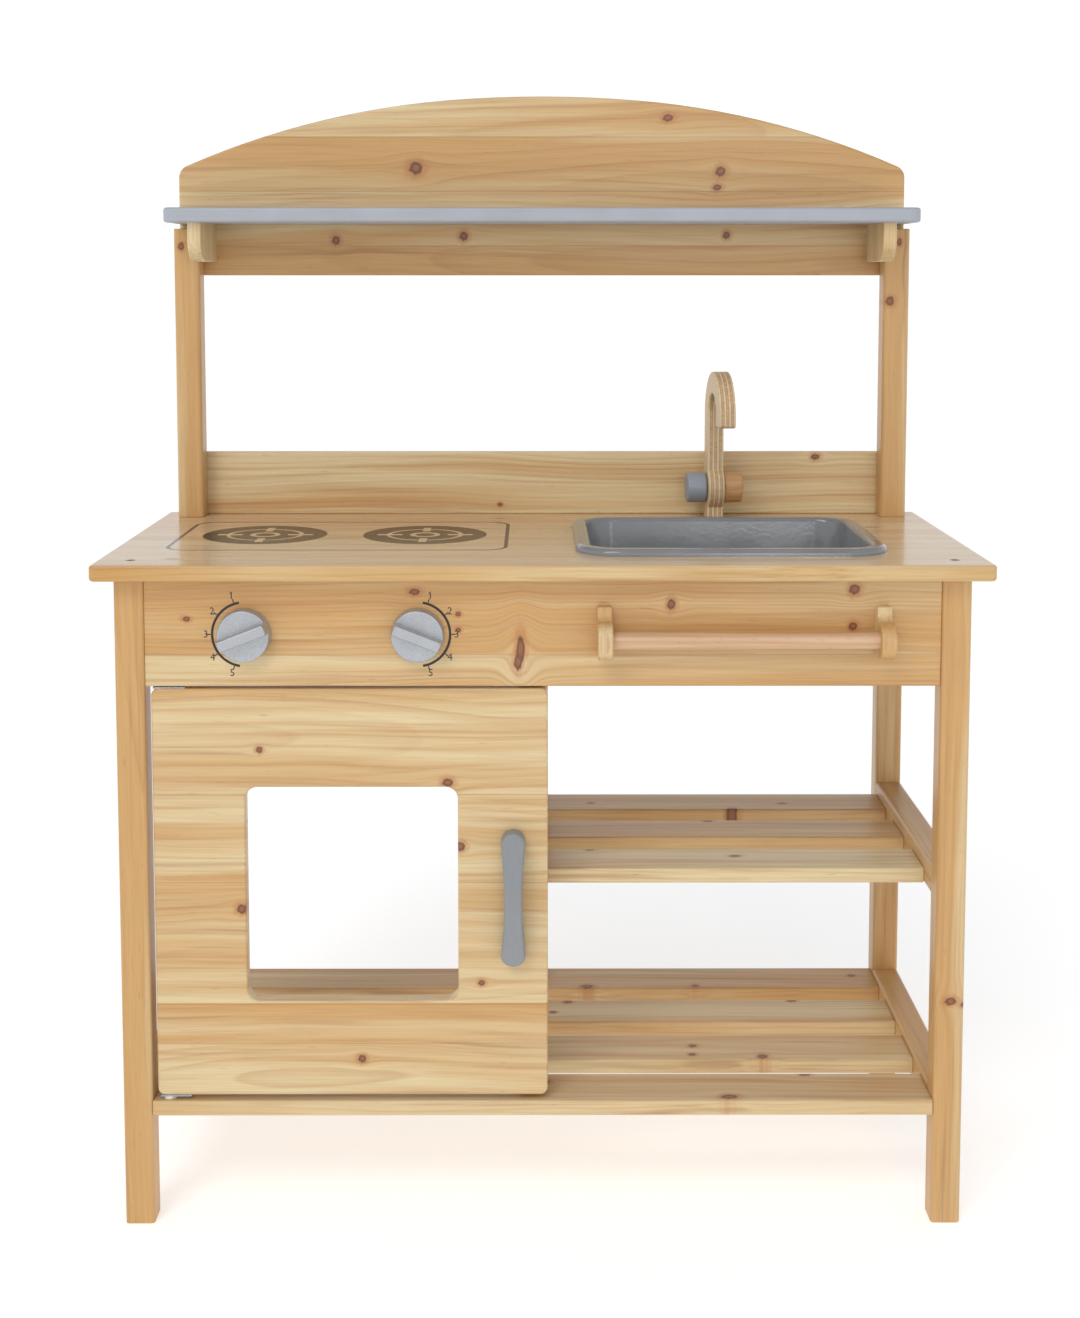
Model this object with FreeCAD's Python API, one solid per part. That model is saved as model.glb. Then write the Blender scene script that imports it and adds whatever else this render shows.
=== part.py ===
import FreeCAD, Part
import math
import os

# Toy kitchen with worktop, sink, two-ring hob, swivelling tap, hinged oven door, open shelves and a
# back frame with an arched top board.  Millimetres.  +X is the viewer's right, +Y goes to the back,
# +Z is up, and the origin is the middle of the whole box at floor level.

Vec = FreeCAD.Vector
X_AXIS = Vec(1, 0, 0)
Y_AXIS = Vec(0, 1, 0)
Z_AXIS = Vec(0, 0, 1)

# ---- driving dimensions ----
worktop_width = 720.0
worktop_depth = 318.0
worktop_thick = 13.0
worktop_top = 551.0
overhang = 16.0                 # of the worktop past the legs, at the front and the sides
leg = 24.0                      # square section of legs, posts and side rails
frame_depth = 286.0             # front of front leg to back of rear leg
apron_inset = 2.0               # apron and door lie this far behind the legs' front
apron_thick = 15.0
apron_height = 88.0
slat_thick = 13.0
slat_width = 50.0
board_thick = 12.0              # splashback, arched board and brackets
towel_reach = 32.0              # towel bracket, forward of the apron
clearance = 0.1                 # radial, of shafts and pins in their holes

# ---- positions worked out from them ----
towel_front = apron_inset - towel_reach
worktop_back = worktop_depth - overhang
front = -(towel_front + worktop_back) / 2      # y of the front legs' front face
side = worktop_width / 2 - overhang            # x of the legs' outer face
inner = side - leg                             # x of the legs' inner face
leg_mid = side - leg / 2
worktop_under = worktop_top - worktop_thick
rear = front + frame_depth                     # y of the rear legs' back face
rear_leg_front = rear - leg
apron_front = front + apron_inset
apron_back = apron_front + apron_thick
apron_under = worktop_under - apron_height

# ---- shelves ----
bottom_slat_top = 105.0
bottom_slat_z = (bottom_slat_top - slat_thick, bottom_slat_top)
bottom_slat_pitch = 76.0
bottom_rail_z = (86.0, 86.0 + leg)
mid_rail_z = (271.0, 271.0 + leg)
mid_slat_z = (mid_rail_z[0], mid_rail_z[0] + slat_thick)
mid_slat_start = 48.0
mid_slat_pitch = 81.0
top_rail_z = (worktop_under - leg, worktop_under)
divider_x = (-20.0, 4.0)
divider_mid = sum(divider_x) / 2

# ---- back frame ----
post_top = 822.5
splash_height = 59.5
arch_half = 343.0
arch_bottom = 779.0
crown_top = 947.0
crown_radius = 1100.0
crown_half = 90.0
shoulder_radius = 780.0
shoulder_corner = 12.0
shelf_z = (826.7, 840.0)
shelf_half = 341.0
shelf_front = front + 195.0
bracket_front = front + 204.0
bracket_drop = 35.0

# ---- door ----
door_x = (-315.8, 4.0)
door_z = (109.0, 448.0)
door_thick = 14.0
door_y = (apron_front, apron_front + door_thick)
window_x = (-241.0, -69.0)
window_z = (189.0, 367.0)
pivot_x = -307.0
pivot_y = apron_front + apron_thick / 2
pivot_radius = 2.0
handle_x = -24.0
handle_z = sum(door_z) / 2 - 1.5
handle_length = 111.0
handle_end_radius = 9.85
handle_waist = 14.5
handle_stand = 22.0
catch_x = (divider_x[0] - 16.0, divider_x[0])
catch_z = (392.0, 416.0)
catch_front = door_y[1] + 0.4
leaf_x = (-314.5, -288.0)
leaf_thick = {"top": 1.2, "bottom": 1.5}
pin_length = 9.0
bush_radius = 3.5
bush_depth = 9.5
bush_flange_radius = 6.0
bush_gap = 0.2                  # between the lower bush's flange and the door's leaf

# ---- knobs ----
knob_x = {"left": -239.5, "right": -100.5}
knob_tilt = {"left": 21.5, "right": -21.5}
knob_z = worktop_under - apron_height / 2 - 1.5
knob_radius = 21.5
knob_boss_radius = 5.0
knob_gap = 0.4                  # between knob and apron
knob_face = 10.0                # height of the disc
knob_bar_height = 19.5
knob_bar_width = 9.0
knob_screw_radius = 1.75
knob_screw_length = 20.0

# ---- towel rail ----
towel_bracket_x = (49.3, 272.7)
towel_z = 490.5
towel_bulge = 15.0
towel_rod_radius = 7.0

# ---- fasteners of the frame ----
slat_screw_offset = 10.0        # each side of the slat's middle
rail_end_room = 8.0             # kept free of slat screws at the ends of a side rail
post_bolt_reach = 26.0          # into the leg below and the post above
cross_bolt_length = 50.0
cross_bolt_radius = 2.5
cross_bolt_head = (4.5, 4.0)    # radius, depth
slat_bolt_y = front + 18.0      # behind the lower hinge pin
rear_rail_y = (rear - 15.0, rear)
rear_rail_z = (worktop_under - 40.0, worktop_under)
divider_front_y = (apron_back, apron_back + leg)
divider_rear_y = (rear - 15.0 - leg, rear - 15.0)
bottom_slat_y = [front + i * bottom_slat_pitch for i in range(4)]
mid_slat_y = [front + mid_slat_start + i * mid_slat_pitch for i in range(3)]

# ---- sink and tap ----
basin_centre = (157.0, front + 127.5)
basin_size = (260.0, 199.0)
basin_rim_width = 13.0
basin_rim_height = 6.0
basin_depth = 62.0
basin_wall = 2.0
basin_draft = 8.0
tap_x = 161.5
tap_y = front + 254.5
tap_turn = 4.0                  # degrees, towards the viewer's right
tap_thick = 15.0
tap_width = 20.0
tap_bend = 41.0                 # outer radius of the hook
tap_top = 691.0
tap_tip = 642.0
tap_axle_z = 580.5
tap_boss_radius = 20.0
tap_axle_radius = 4.0
tap_handle_radius = 14.15
tap_handle_length = 18.0
tap_bolt_radius = 3.0
tap_lift = 0.3                  # of the tap's foot above the worktop
axle_seat = 12.0                # of the axle in each handle
handle_gap = 0.5                # between tap and handles


# ---- helpers ----
def block(x, y, z):
    """A box between three (low, high) pairs."""
    return Part.makeBox(x[1] - x[0], y[1] - y[0], z[1] - z[0], Vec(x[0], y[0], z[0]))


def rod(radius, length, start, axis):
    return Part.makeCylinder(radius, length, Vec(*start), axis)


def straight_edges(shape, axis):
    """The straight edges parallel to an axis."""
    found = []
    for edge in shape.Edges:
        if edge.Curve.TypeId != "Part::GeomLine":
            continue
        if abs(abs(edge.tangentAt(edge.FirstParameter).dot(axis)) - 1) < 1e-6:
            found.append(edge)
    return found


def edges_at(shape, axis, level):
    """The edges that lie wholly in one plane across an axis."""
    found = []
    for edge in shape.Edges:
        box = edge.BoundBox
        low = Vec(box.XMin, box.YMin, box.ZMin).dot(axis)
        high = Vec(box.XMax, box.YMax, box.ZMax).dot(axis)
        if abs(low - level) < 1e-4 and abs(high - level) < 1e-4:
            found.append(edge)
    return found


def span(shape, axis):
    box = shape.BoundBox
    return (Vec(box.XMin, box.YMin, box.ZMin).dot(axis), Vec(box.XMax, box.YMax, box.ZMax).dot(axis))


def soften_faces(shape, axis, radius):
    """Round the edges of the two faces across an axis."""
    low, high = span(shape, axis)
    return shape.makeFillet(radius, edges_at(shape, axis, low) + edges_at(shape, axis, high))


def bar(x, y, z, axis, radius=3.0):
    """A square bar with its long edges rounded and its ends slightly eased."""
    shape = block(x, y, z)
    shape = shape.makeFillet(radius, straight_edges(shape, axis))
    return soften_faces(shape, axis, 0.8)


def board(x, y, z, thickness_axis, corner=4.0, edge=2.0):
    """A flat board with rounded corners and eased faces."""
    shape = block(x, y, z)
    shape = shape.makeFillet(corner, straight_edges(shape, thickness_axis))
    return soften_faces(shape, thickness_axis, edge)


def prism(wire_edges, depth):
    """A closed outline pushed along a vector."""
    return Part.Face(Part.Wire(wire_edges)).extrude(depth)


def line(a, b):
    return Part.LineSegment(a, b).toShape()


def arc(a, b, c):
    return Part.Arc(a, b, c).toShape()


def round_rect(centre, size, corner, z):
    """A rectangle with round corners, as a wire in a level plane."""
    half_x = size[0] / 2
    half_y = size[1] / 2
    slant = corner * (1 - math.sqrt(0.5))
    middle = Vec(centre[0], centre[1], z)
    edges = []
    for turn, (a, b) in enumerate(((half_x, half_y), (half_y, half_x)) * 2):
        spin = FreeCAD.Rotation(Z_AXIS, 90 * turn)
        offsets = [(a, -b + corner), (a, b - corner), (a - slant, b - slant), (a - corner, b)]
        points = [middle + spin.multVec(Vec(u, v, 0)) for u, v in offsets]
        edges.append(line(points[0], points[1]))
        edges.append(arc(points[1], points[2], points[3]))
    return Part.Wire(edges)


def countersunk(point, axis, length, radius=1.75, head=3.4, head_depth=2.2):
    """A countersunk screw with a cross recess; the axis points the way it is driven."""
    start = Vec(*point)
    shape = Part.makeCone(head, radius, head_depth, start, axis)
    shape = shape.fuse(Part.makeCylinder(radius, length - head_depth, start + axis * head_depth, axis))
    across = Z_AXIS if abs(axis.z) < 0.5 else X_AXIS
    for direction in (across, axis.cross(across)):
        other = axis.cross(direction)
        corner = start - direction * 1.9 - other * 0.45
        slot = Part.makePolygon([corner, corner + direction * 3.8, corner + direction * 3.8 + other * 0.9,
                                 corner + other * 0.9, corner])
        shape = shape.cut(Part.Face(slot).extrude(axis * 1.1))
    return shape.removeSplitter()


def bored(shape, fasteners):
    """The shape with a seat cut for every fastener that reaches into it."""
    tools = []
    for group in fasteners:
        for solid in group.Solids:
            if solid.BoundBox.intersect(shape.BoundBox):
                tools.append(filled(solid))
    if not tools:
        return shape
    return shape.cut(Part.makeCompound(tools))


def filled(solid):
    """A fastener with its recess filled, so that its seat has no plug in it."""
    heads = [f for f in solid.Faces if f.Surface.TypeId == "Part::GeomCone"]
    if len(heads) != 1:
        return solid
    cone = heads[0]
    circles = [e for e in cone.Edges if e.Curve.TypeId == "Part::GeomCircle"]
    rim = max(circles, key=lambda e: e.Curve.Radius)
    shank = min(circles, key=lambda e: e.Curve.Radius)
    axis = shank.Curve.Center - rim.Curve.Center
    plug = Part.makeCone(rim.Curve.Radius, shank.Curve.Radius, axis.Length, rim.Curve.Center, axis)
    return solid.fuse(plug).removeSplitter()


def group(shapes):
    return Part.makeCompound(shapes)


parts = {}


# ---- fasteners of the fixed frame ----
def dowel_pairs():
    """Two wooden dowels at each end of every rail that runs front to back."""
    radius = 2.5
    in_leg = 10.0
    in_rail = 12.0
    rails = []
    for x in (-leg_mid, leg_mid):
        rails.append((x, sum(top_rail_z) / 2, front + leg, rear_leg_front))
        rails.append((x, sum(bottom_rail_z) / 2, front + leg, rear_leg_front))
    rails.append((leg_mid, sum(mid_rail_z) / 2, front + leg, rear_leg_front))
    rails.append((divider_mid, sum(mid_rail_z) / 2, divider_front_y[1], divider_rear_y[0]))
    dowels = []
    for x, z, y_front, y_back in rails:
        for dz in (-7.0, 7.0):
            dowels.append(rod(radius, in_leg + in_rail, (x, y_front - in_leg, z + dz), Y_AXIS))
            dowels.append(rod(radius, in_leg + in_rail, (x, y_back - in_rail, z + dz), Y_AXIS))
    return group(dowels)


def cross_joints():
    """Bolts through the legs into the ends of the cross members, each with its barrel nut."""
    head_radius, head_depth = cross_bolt_head
    shank = cross_bolt_length - head_depth
    socket_radius = 2.3
    socket_depth = 2.5
    nut_radius = 5.0
    nut_from_leg = 20.0
    apron_mid = (apron_front + apron_back) / 2
    slat_mid = sum(bottom_slat_z) / 2
    joints = [
        (apron_mid, apron_under + 18.0, Y_AXIS, (apron_front + 3.0, apron_back)),
        (apron_mid, apron_under + 54.0, Y_AXIS, (apron_front + 3.0, apron_back)),
        (sum(rear_rail_y) / 2, rear_rail_z[0] + 9.0, Y_AXIS, (rear_rail_y[0] + 3.0, rear_rail_y[1])),
        (slat_bolt_y, slat_mid, Z_AXIS, (bottom_slat_z[0], bottom_slat_z[1] - 2.0)),
        (bottom_slat_y[3] + slat_width - 8.0, slat_mid, Z_AXIS, (bottom_slat_z[0], bottom_slat_z[1] - 2.0)),
    ]
    bolts = []
    nuts = []
    for y, z, nut_axis, nut_span in joints:
        for sign in (-1, 1):
            inward = Vec(-sign, 0, 0)
            start = Vec(sign * side, y, z)
            bolt = Part.makeCylinder(head_radius, head_depth, start, inward)
            seat = start + inward * head_depth
            bolt = bolt.fuse(Part.makeCylinder(cross_bolt_radius, shank, seat, inward))
            spins = [FreeCAD.Rotation(X_AXIS, 60 * i) for i in range(7)]
            hexagon = Part.makePolygon([start + spin.multVec(Vec(0, socket_radius, 0)) for spin in spins])
            bolt = bolt.cut(Part.Face(hexagon).extrude(inward * socket_depth)).removeSplitter()
            nut_x = sign * (inner - nut_from_leg)
            if nut_axis == Y_AXIS:
                foot = (nut_x, nut_span[0], z)
            else:
                foot = (nut_x, y, nut_span[0])
            nut = rod(nut_radius, nut_span[1] - nut_span[0], foot, nut_axis)
            nuts.append(nut.cut(bolt))
            bolts.append(bolt)
    return group(bolts), group(nuts)


def post_bolts():
    """A double-ended bolt from each rear leg through the worktop into the post above."""
    length = worktop_thick + 2 * post_bolt_reach
    return group([rod(3.0, length, (x, rear - 6.0, worktop_under - post_bolt_reach), Z_AXIS)
                  for x in (-leg_mid, leg_mid)])


def slat_screws():
    """Screws through the side rails into the ends of the shelf slats."""
    length = 40.0
    screws = []
    bottom_mid = sum(bottom_slat_z) / 2
    mid_mid = sum(mid_slat_z) / 2
    for start in bottom_slat_y:
        for offset in (-slat_screw_offset, slat_screw_offset):
            y = start + slat_width / 2 + offset
            if front + leg + rail_end_room < y < rear_leg_front - rail_end_room:
                screws.append(countersunk((side, y, bottom_mid), -X_AXIS, length))
                screws.append(countersunk((-side, y, bottom_mid), X_AXIS, length))
    for start in mid_slat_y:
        for offset in (-slat_screw_offset, slat_screw_offset):
            y = start + slat_width / 2 + offset
            screws.append(countersunk((side, y, mid_mid), -X_AXIS, length))
            if y < divider_rear_y[0] - rail_end_room - 6.0:
                screws.append(countersunk((divider_x[0], y, mid_mid), X_AXIS, length))
    return group(screws)


def divider_screws():
    """Screws that hold the divider's posts to the slats below, the apron and the rear rail."""
    length = 36.0
    screws = []
    for y in (sum(divider_front_y) / 2, sum(divider_rear_y) / 2):
        screws.append(countersunk((divider_mid, y, bottom_slat_z[0]), Z_AXIS, length))
    for z in (apron_under + 20.0, apron_under + 66.0):
        screws.append(countersunk((divider_mid, divider_front_y[1], z), -Y_AXIS, length))
    screws.append(countersunk((divider_mid, rear, sum(rear_rail_z) / 2), -Y_AXIS, length))
    return group(screws)


def back_board_screws():
    """Screws driven from behind, through the splashback and the arched board into what they hold."""
    back = rear + board_thick
    screws = []
    for sign in (-1, 1):
        for z in (worktop_top + 15.0, worktop_top + 45.0):
            screws.append(countersunk((sign * (inner + 5.0), back, z), -Y_AXIS, 30.0))
        for z in (arch_bottom + 12.0, arch_bottom + 32.0):
            screws.append(countersunk((sign * leg_mid, back, z), -Y_AXIS, 30.0))
        for z in (shelf_z[0] - 26.0, shelf_z[0] - 9.0):
            screws.append(countersunk((sign * (inner - board_thick / 2), back, z), -Y_AXIS, 40.0))
        for x in (85.0, 250.0):
            screws.append(countersunk((sign * x, back, sum(shelf_z) / 2), -Y_AXIS, 40.0))
    return group(screws)


def towel_screws():
    return group([countersunk((x, apron_back, z), -Y_AXIS, 22.0)
                  for x in towel_bracket_x for z in (towel_z - 7.5, towel_z + 17.5)])


def worktop_screws():
    return group([countersunk((x, front + leg / 2, worktop_top), -Z_AXIS, 42.0, 2.0, 4.0, 2.6)
                  for x in (-leg_mid, leg_mid)])


parts["frame_dowels"] = dowel_pairs()
parts["cross_bolts"], parts["barrel_nuts"] = cross_joints()
parts["post_bolts"] = post_bolts()
parts["slat_screws"] = slat_screws()
parts["divider_screws"] = divider_screws()
parts["back_board_screws"] = back_board_screws()
parts["towel_bracket_screws"] = towel_screws()
parts["worktop_screws"] = worktop_screws()


# ---- legs, posts and rails ----
def make_uprights():
    for name, x in (("left", (-side, -inner)), ("right", (inner, side))):
        parts["front_leg_" + name] = bar(x, (front, front + leg), (0, worktop_under), Z_AXIS)
        parts["rear_leg_" + name] = bar(x, (rear_leg_front, rear), (0, worktop_under), Z_AXIS)
        parts["upper_post_" + name] = bar(x, (rear_leg_front, rear), (worktop_top, post_top), Z_AXIS)
    for name, y in (("front", divider_front_y), ("rear", divider_rear_y)):
        parts["divider_post_" + name] = bar(divider_x, y, (bottom_slat_top, worktop_under), Z_AXIS)


def make_rails():
    rail_y = (front + leg, rear_leg_front)
    for name, x in (("left", (-side, -inner)), ("right", (inner, side))):
        parts["top_side_rail_" + name] = bar(x, rail_y, top_rail_z, Y_AXIS)
        parts["bottom_side_rail_" + name] = bar(x, rail_y, bottom_rail_z, Y_AXIS)
    parts["mid_side_rail"] = bar((inner, side), rail_y, mid_rail_z, Y_AXIS)
    parts["divider_rail"] = bar(divider_x, (divider_front_y[1], divider_rear_y[0]), mid_rail_z, Y_AXIS)
    parts["rear_rail"] = bar((-inner, inner), rear_rail_y, rear_rail_z, X_AXIS, 2.0)


def make_slats():
    for i, y in enumerate(bottom_slat_y):
        slat = bar((-inner, inner), (y, y + slat_width), bottom_slat_z, X_AXIS, 2.0)
        parts["bottom_slat_%d" % (i + 1)] = slat
    for i, y in enumerate(mid_slat_y):
        slat = bar((divider_x[1], inner), (y, y + slat_width), mid_slat_z, X_AXIS, 2.0)
        parts["mid_slat_%d" % (i + 1)] = slat


# ---- boards ----
def make_apron():
    shape = bar((-inner, inner), (apron_front, apron_back), (apron_under, worktop_under), X_AXIS, 1.5)
    for x in knob_x.values():
        shape = shape.cut(rod(knob_boss_radius + clearance, apron_thick, (x, apron_front, knob_z), Y_AXIS))
    return shape


def make_worktop():
    y = (front - overhang, front + worktop_back)
    half = worktop_width / 2
    shape = board((-half, half), y, (worktop_under, worktop_top), Z_AXIS, 5.0, 2.5)
    hole = round_rect(basin_centre, (basin_size[0] - 20.0, basin_size[1] - 20.0), 27.0, worktop_under)
    shape = shape.cut(Part.Face(hole).extrude(Z_AXIS * worktop_thick))
    return shape.cut(rod(tap_bolt_radius + clearance, worktop_thick, (tap_x, tap_y, worktop_under), Z_AXIS))


def make_splashback():
    z = (worktop_top, worktop_top + splash_height)
    return board((-side, side), (rear, rear + board_thick), z, Y_AXIS, 2.0, 1.5)


def make_arch_board():
    """Straight sides and bottom under a crown of three tangent arcs."""
    y = rear
    turn = math.asin(crown_half / crown_radius)
    crown_centre = crown_top - crown_radius
    join = Vec(crown_half, y, crown_centre + crown_radius * math.cos(turn))
    hub = join - Vec(math.sin(turn), 0, math.cos(turn)) * shoulder_radius

    def on_shoulder(x):
        return Vec(x, y, hub.z + math.sqrt(shoulder_radius ** 2 - (x - hub.x) ** 2))

    def mirrored(p):
        return Vec(-p.x, p.y, p.z)

    middle = on_shoulder((crown_half + arch_half) / 2)
    end = on_shoulder(arch_half)
    foot = Vec(arch_half, y, arch_bottom)
    outline = [
        line(mirrored(foot), foot),
        line(foot, end),
        arc(end, middle, join),
        arc(join, Vec(0, y, crown_top), mirrored(join)),
        arc(mirrored(join), mirrored(middle), mirrored(end)),
        line(mirrored(end), mirrored(foot)),
    ]
    shape = prism(outline, Y_AXIS * board_thick)
    tops = []
    for edge in straight_edges(shape, Y_AXIS):
        point = edge.Vertexes[0].Point
        if abs(abs(point.x) - arch_half) < 1e-3 and point.z > arch_bottom + 1:
            tops.append(edge)
    shape = shape.makeFillet(shoulder_corner, tops)
    feet = [e for e in straight_edges(shape, Y_AXIS) if e.Vertexes[0].Point.z < arch_bottom + 1]
    shape = shape.makeFillet(2.0, feet)
    return soften_faces(shape, Y_AXIS, 2.0)


def make_top_shelf():
    shape = block((-shelf_half, shelf_half), (shelf_front, rear), shelf_z)
    fronts = [e for e in straight_edges(shape, Z_AXIS) if e.Vertexes[0].Point.y < shelf_front + 1]
    shape = shape.makeFillet(10.0, fronts)
    return soften_faces(shape, Z_AXIS, 2.5)


def make_shelf_bracket(x_low):
    """Plate on edge under the shelf, with a quarter-round at its lower front corner."""
    nose = 21.0
    slant = nose * (1 - math.sqrt(0.5))
    top = shelf_z[0]
    low = top - bracket_drop

    def at(y, z):
        return Vec(x_low, y, z)

    nose_top = at(bracket_front, low + nose)
    nose_end = at(bracket_front + nose, low)
    outline = [
        line(at(rear, top), at(bracket_front, top)),
        line(at(bracket_front, top), nose_top),
        arc(nose_top, at(bracket_front + slant, low + slant), nose_end),
        line(nose_end, at(rear, low)),
        line(at(rear, low), at(rear, top)),
    ]
    shape = prism(outline, X_AXIS * board_thick)
    rims = []
    for level in (x_low, x_low + board_thick):
        for edge in edges_at(shape, X_AXIS, level):
            box = edge.BoundBox
            if box.ZMin < top - 1 and box.YMin < rear - 1:
                rims.append(edge)
    return shape.makeFillet(1.5, rims)


def make_towel_bracket(x_mid):
    """Ear-shaped plate: a thin neck at the top and a round bulge that holds the rod."""
    neck = 9.0
    hollow = 8.0
    hub = towel_reach - towel_bulge
    low = towel_z - towel_bulge
    shoulder = towel_z + towel_bulge
    step = shoulder + hollow
    top = step + 2.5
    x_low = x_mid - board_thick / 2
    root = math.sqrt(0.5)

    def at(forward, z):
        return Vec(x_low, apron_front - forward, z)

    outline = [
        line(at(0, top), at(0, low)),
        line(at(0, low), at(hub, low)),
        arc(at(hub, low), at(hub + towel_bulge, towel_z), at(hub, shoulder)),
        arc(at(hub, shoulder), at(hub - hollow * root, step - hollow * root), at(neck, step)),
        line(at(neck, step), at(neck, top)),
        line(at(neck, top), at(0, top)),
    ]
    shape = prism(outline, X_AXIS * board_thick)
    rims = []
    for level in (x_low, x_low + board_thick):
        for edge in edges_at(shape, X_AXIS, level):
            if edge.BoundBox.YMin < apron_front - 1:
                rims.append(edge)
    return shape.makeFillet(1.5, rims)


# ---- door ----
def make_door_panel():
    shape = board(door_x, door_y, door_z, Y_AXIS, 6.0, 2.0)
    window = block(window_x, door_y, window_z)
    window = window.makeFillet(10.0, straight_edges(window, Y_AXIS))
    shape = shape.cut(window)
    rims = []
    for level in door_y:
        for edge in edges_at(shape, Y_AXIS, level):
            box = edge.BoundBox
            inside_x = window_x[0] - 1 < box.XMin and box.XMax < window_x[1] + 1
            inside_z = window_z[0] - 1 < box.ZMin and box.ZMax < window_z[1] + 1
            if inside_x and inside_z:
                rims.append(edge)
    return shape.makeFillet(2.0, rims)


def make_door_handle():
    """Bow handle: round ends and a waisted middle in front view, arched clear of the door."""
    end_centre = handle_length / 2 - handle_end_radius
    half_waist = handle_waist / 2
    # the waist arc touches both end circles
    waist_squares = end_centre ** 2 + half_waist ** 2 - handle_end_radius ** 2
    waist_radius = waist_squares / (2 * (handle_end_radius - half_waist))
    hub = half_waist + waist_radius
    reach = waist_radius + handle_end_radius
    touch = (handle_end_radius * hub / reach, end_centre - handle_end_radius * end_centre / reach)
    y = apron_front

    def at(x, z):
        return Vec(handle_x + x, y, handle_z + z)

    outline = [
        arc(at(touch[0], -touch[1]), at(half_waist, 0), at(*touch)),
        arc(at(*touch), at(0, handle_length / 2), at(-touch[0], touch[1])),
        arc(at(-touch[0], touch[1]), at(-half_waist, 0), at(-touch[0], -touch[1])),
        arc(at(-touch[0], -touch[1]), at(0, -handle_length / 2), at(touch[0], -touch[1])),
    ]
    plan = prism(outline, -Y_AXIS * handle_stand)
    half = handle_length / 2 + 1
    end_stand = handle_stand - 11.0
    grip = 10.0
    foot = half - 21.0
    x_low = handle_x - handle_end_radius - 1

    def side_at(forward, z):
        return Vec(x_low, y - forward, handle_z + z)

    bow = [
        line(side_at(0, -half), side_at(end_stand, -half)),
        arc(side_at(end_stand, -half), side_at(handle_stand, 0), side_at(end_stand, half)),
        line(side_at(end_stand, half), side_at(0, half)),
        line(side_at(0, half), side_at(0, foot)),
        arc(side_at(0, foot), side_at(handle_stand - grip, 0), side_at(0, -foot)),
        line(side_at(0, -foot), side_at(0, -half)),
    ]
    shape = plan.common(prism(bow, X_AXIS * (2 * handle_end_radius + 2))).removeSplitter()
    rims = [e for e in shape.Edges if e.BoundBox.YMax < y - 1.0 and e.Length > 20]
    return shape.makeFillet(2.5, rims)


def hinge_leaves():
    """Two pivot plates on the door's top and bottom edges, each with its pin."""
    y = (door_y[0] + 1.0, door_y[1] - 1.5)
    leaves = []
    for name, level, up in (("top", door_z[1], 1), ("bottom", door_z[0], -1)):
        z = sorted((level, level + up * leaf_thick[name]))
        plate = block(leaf_x, y, z)
        plate = plate.makeFillet(2.0, straight_edges(plate, Z_AXIS))
        pin = rod(pivot_radius, pin_length, (pivot_x, pivot_y, level), Z_AXIS * up)
        leaves.append(plate.fuse(pin).removeSplitter())
    return leaves


def hinge_leaf_screws():
    screws = []
    for x in (-299.0, -292.0):
        y = sum(door_y) / 2
        above = (x, y, door_z[1] + leaf_thick["top"])
        below = (x, y, door_z[0] - leaf_thick["bottom"])
        screws.append(countersunk(above, -Z_AXIS, 16.0, 1.25, 2.4, 1.6))
        screws.append(countersunk(below, Z_AXIS, 16.0, 1.25, 2.4, 1.6))
    return group(screws)


def bush_seats():
    """The full bores in the apron and the lowest slat that take the bushes."""
    return group([rod(bush_radius, bush_depth, (pivot_x, pivot_y, z), Z_AXIS)
                  for z in (apron_under, bottom_slat_top - bush_depth)])


def hinge_bushes():
    """Plastic bushes for the pins: a plain one in the apron, and a flanged one that carries the door."""
    top, low = bush_seats().Solids
    flange_height = door_z[0] - leaf_thick["bottom"] - bush_gap - bottom_slat_top
    flange = rod(bush_flange_radius, flange_height, (pivot_x, pivot_y, bottom_slat_top), Z_AXIS)
    hole = pivot_radius + clearance
    bore = rod(hole, door_z[1], (pivot_x, pivot_y, bottom_slat_top - bush_depth), Z_AXIS)
    return group([top.cut(bore), low.fuse(flange).cut(bore).removeSplitter()])


def magnet_catch():
    """Small magnet housing on the divider post, with two pole plates at its front."""
    shape = block(catch_x, (catch_front, catch_front + 30.0), catch_z)
    shape = shape.makeFillet(2.0, straight_edges(shape, Y_AXIS))
    mid = sum(catch_x) / 2
    for offset in (-3.0, 3.0):
        x = (mid + offset - 0.6, mid + offset + 0.6)
        shape = shape.cut(block(x, (catch_front, catch_front + 1.0), (catch_z[0] + 4.0, catch_z[1] - 4.0)))
    return shape


def catch_screws():
    mid = catch_front + 17.0
    heights = (catch_z[0] + 6.0, catch_z[1] - 6.0)
    return group([countersunk((catch_x[0], mid, z), X_AXIS, 34.0) for z in heights])


def strike_plate():
    """Thin steel disc let into the door's back face, held by a central screw cast in one with it."""
    mid = sum(catch_x) / 2
    z = sum(catch_z) / 2
    disc = rod(7.0, 1.2, (mid, door_y[1] - 1.2, z), Y_AXIS)
    return disc.fuse(rod(1.5, 8.0, (mid, door_y[1] - 9.2, z), Y_AXIS)).removeSplitter()


def door_handle_screws():
    end_centre = handle_length / 2 - handle_end_radius
    return group([countersunk((handle_x, door_y[1], handle_z + dz), -Y_AXIS, 22.0)
                  for dz in (-end_centre, end_centre)])


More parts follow.
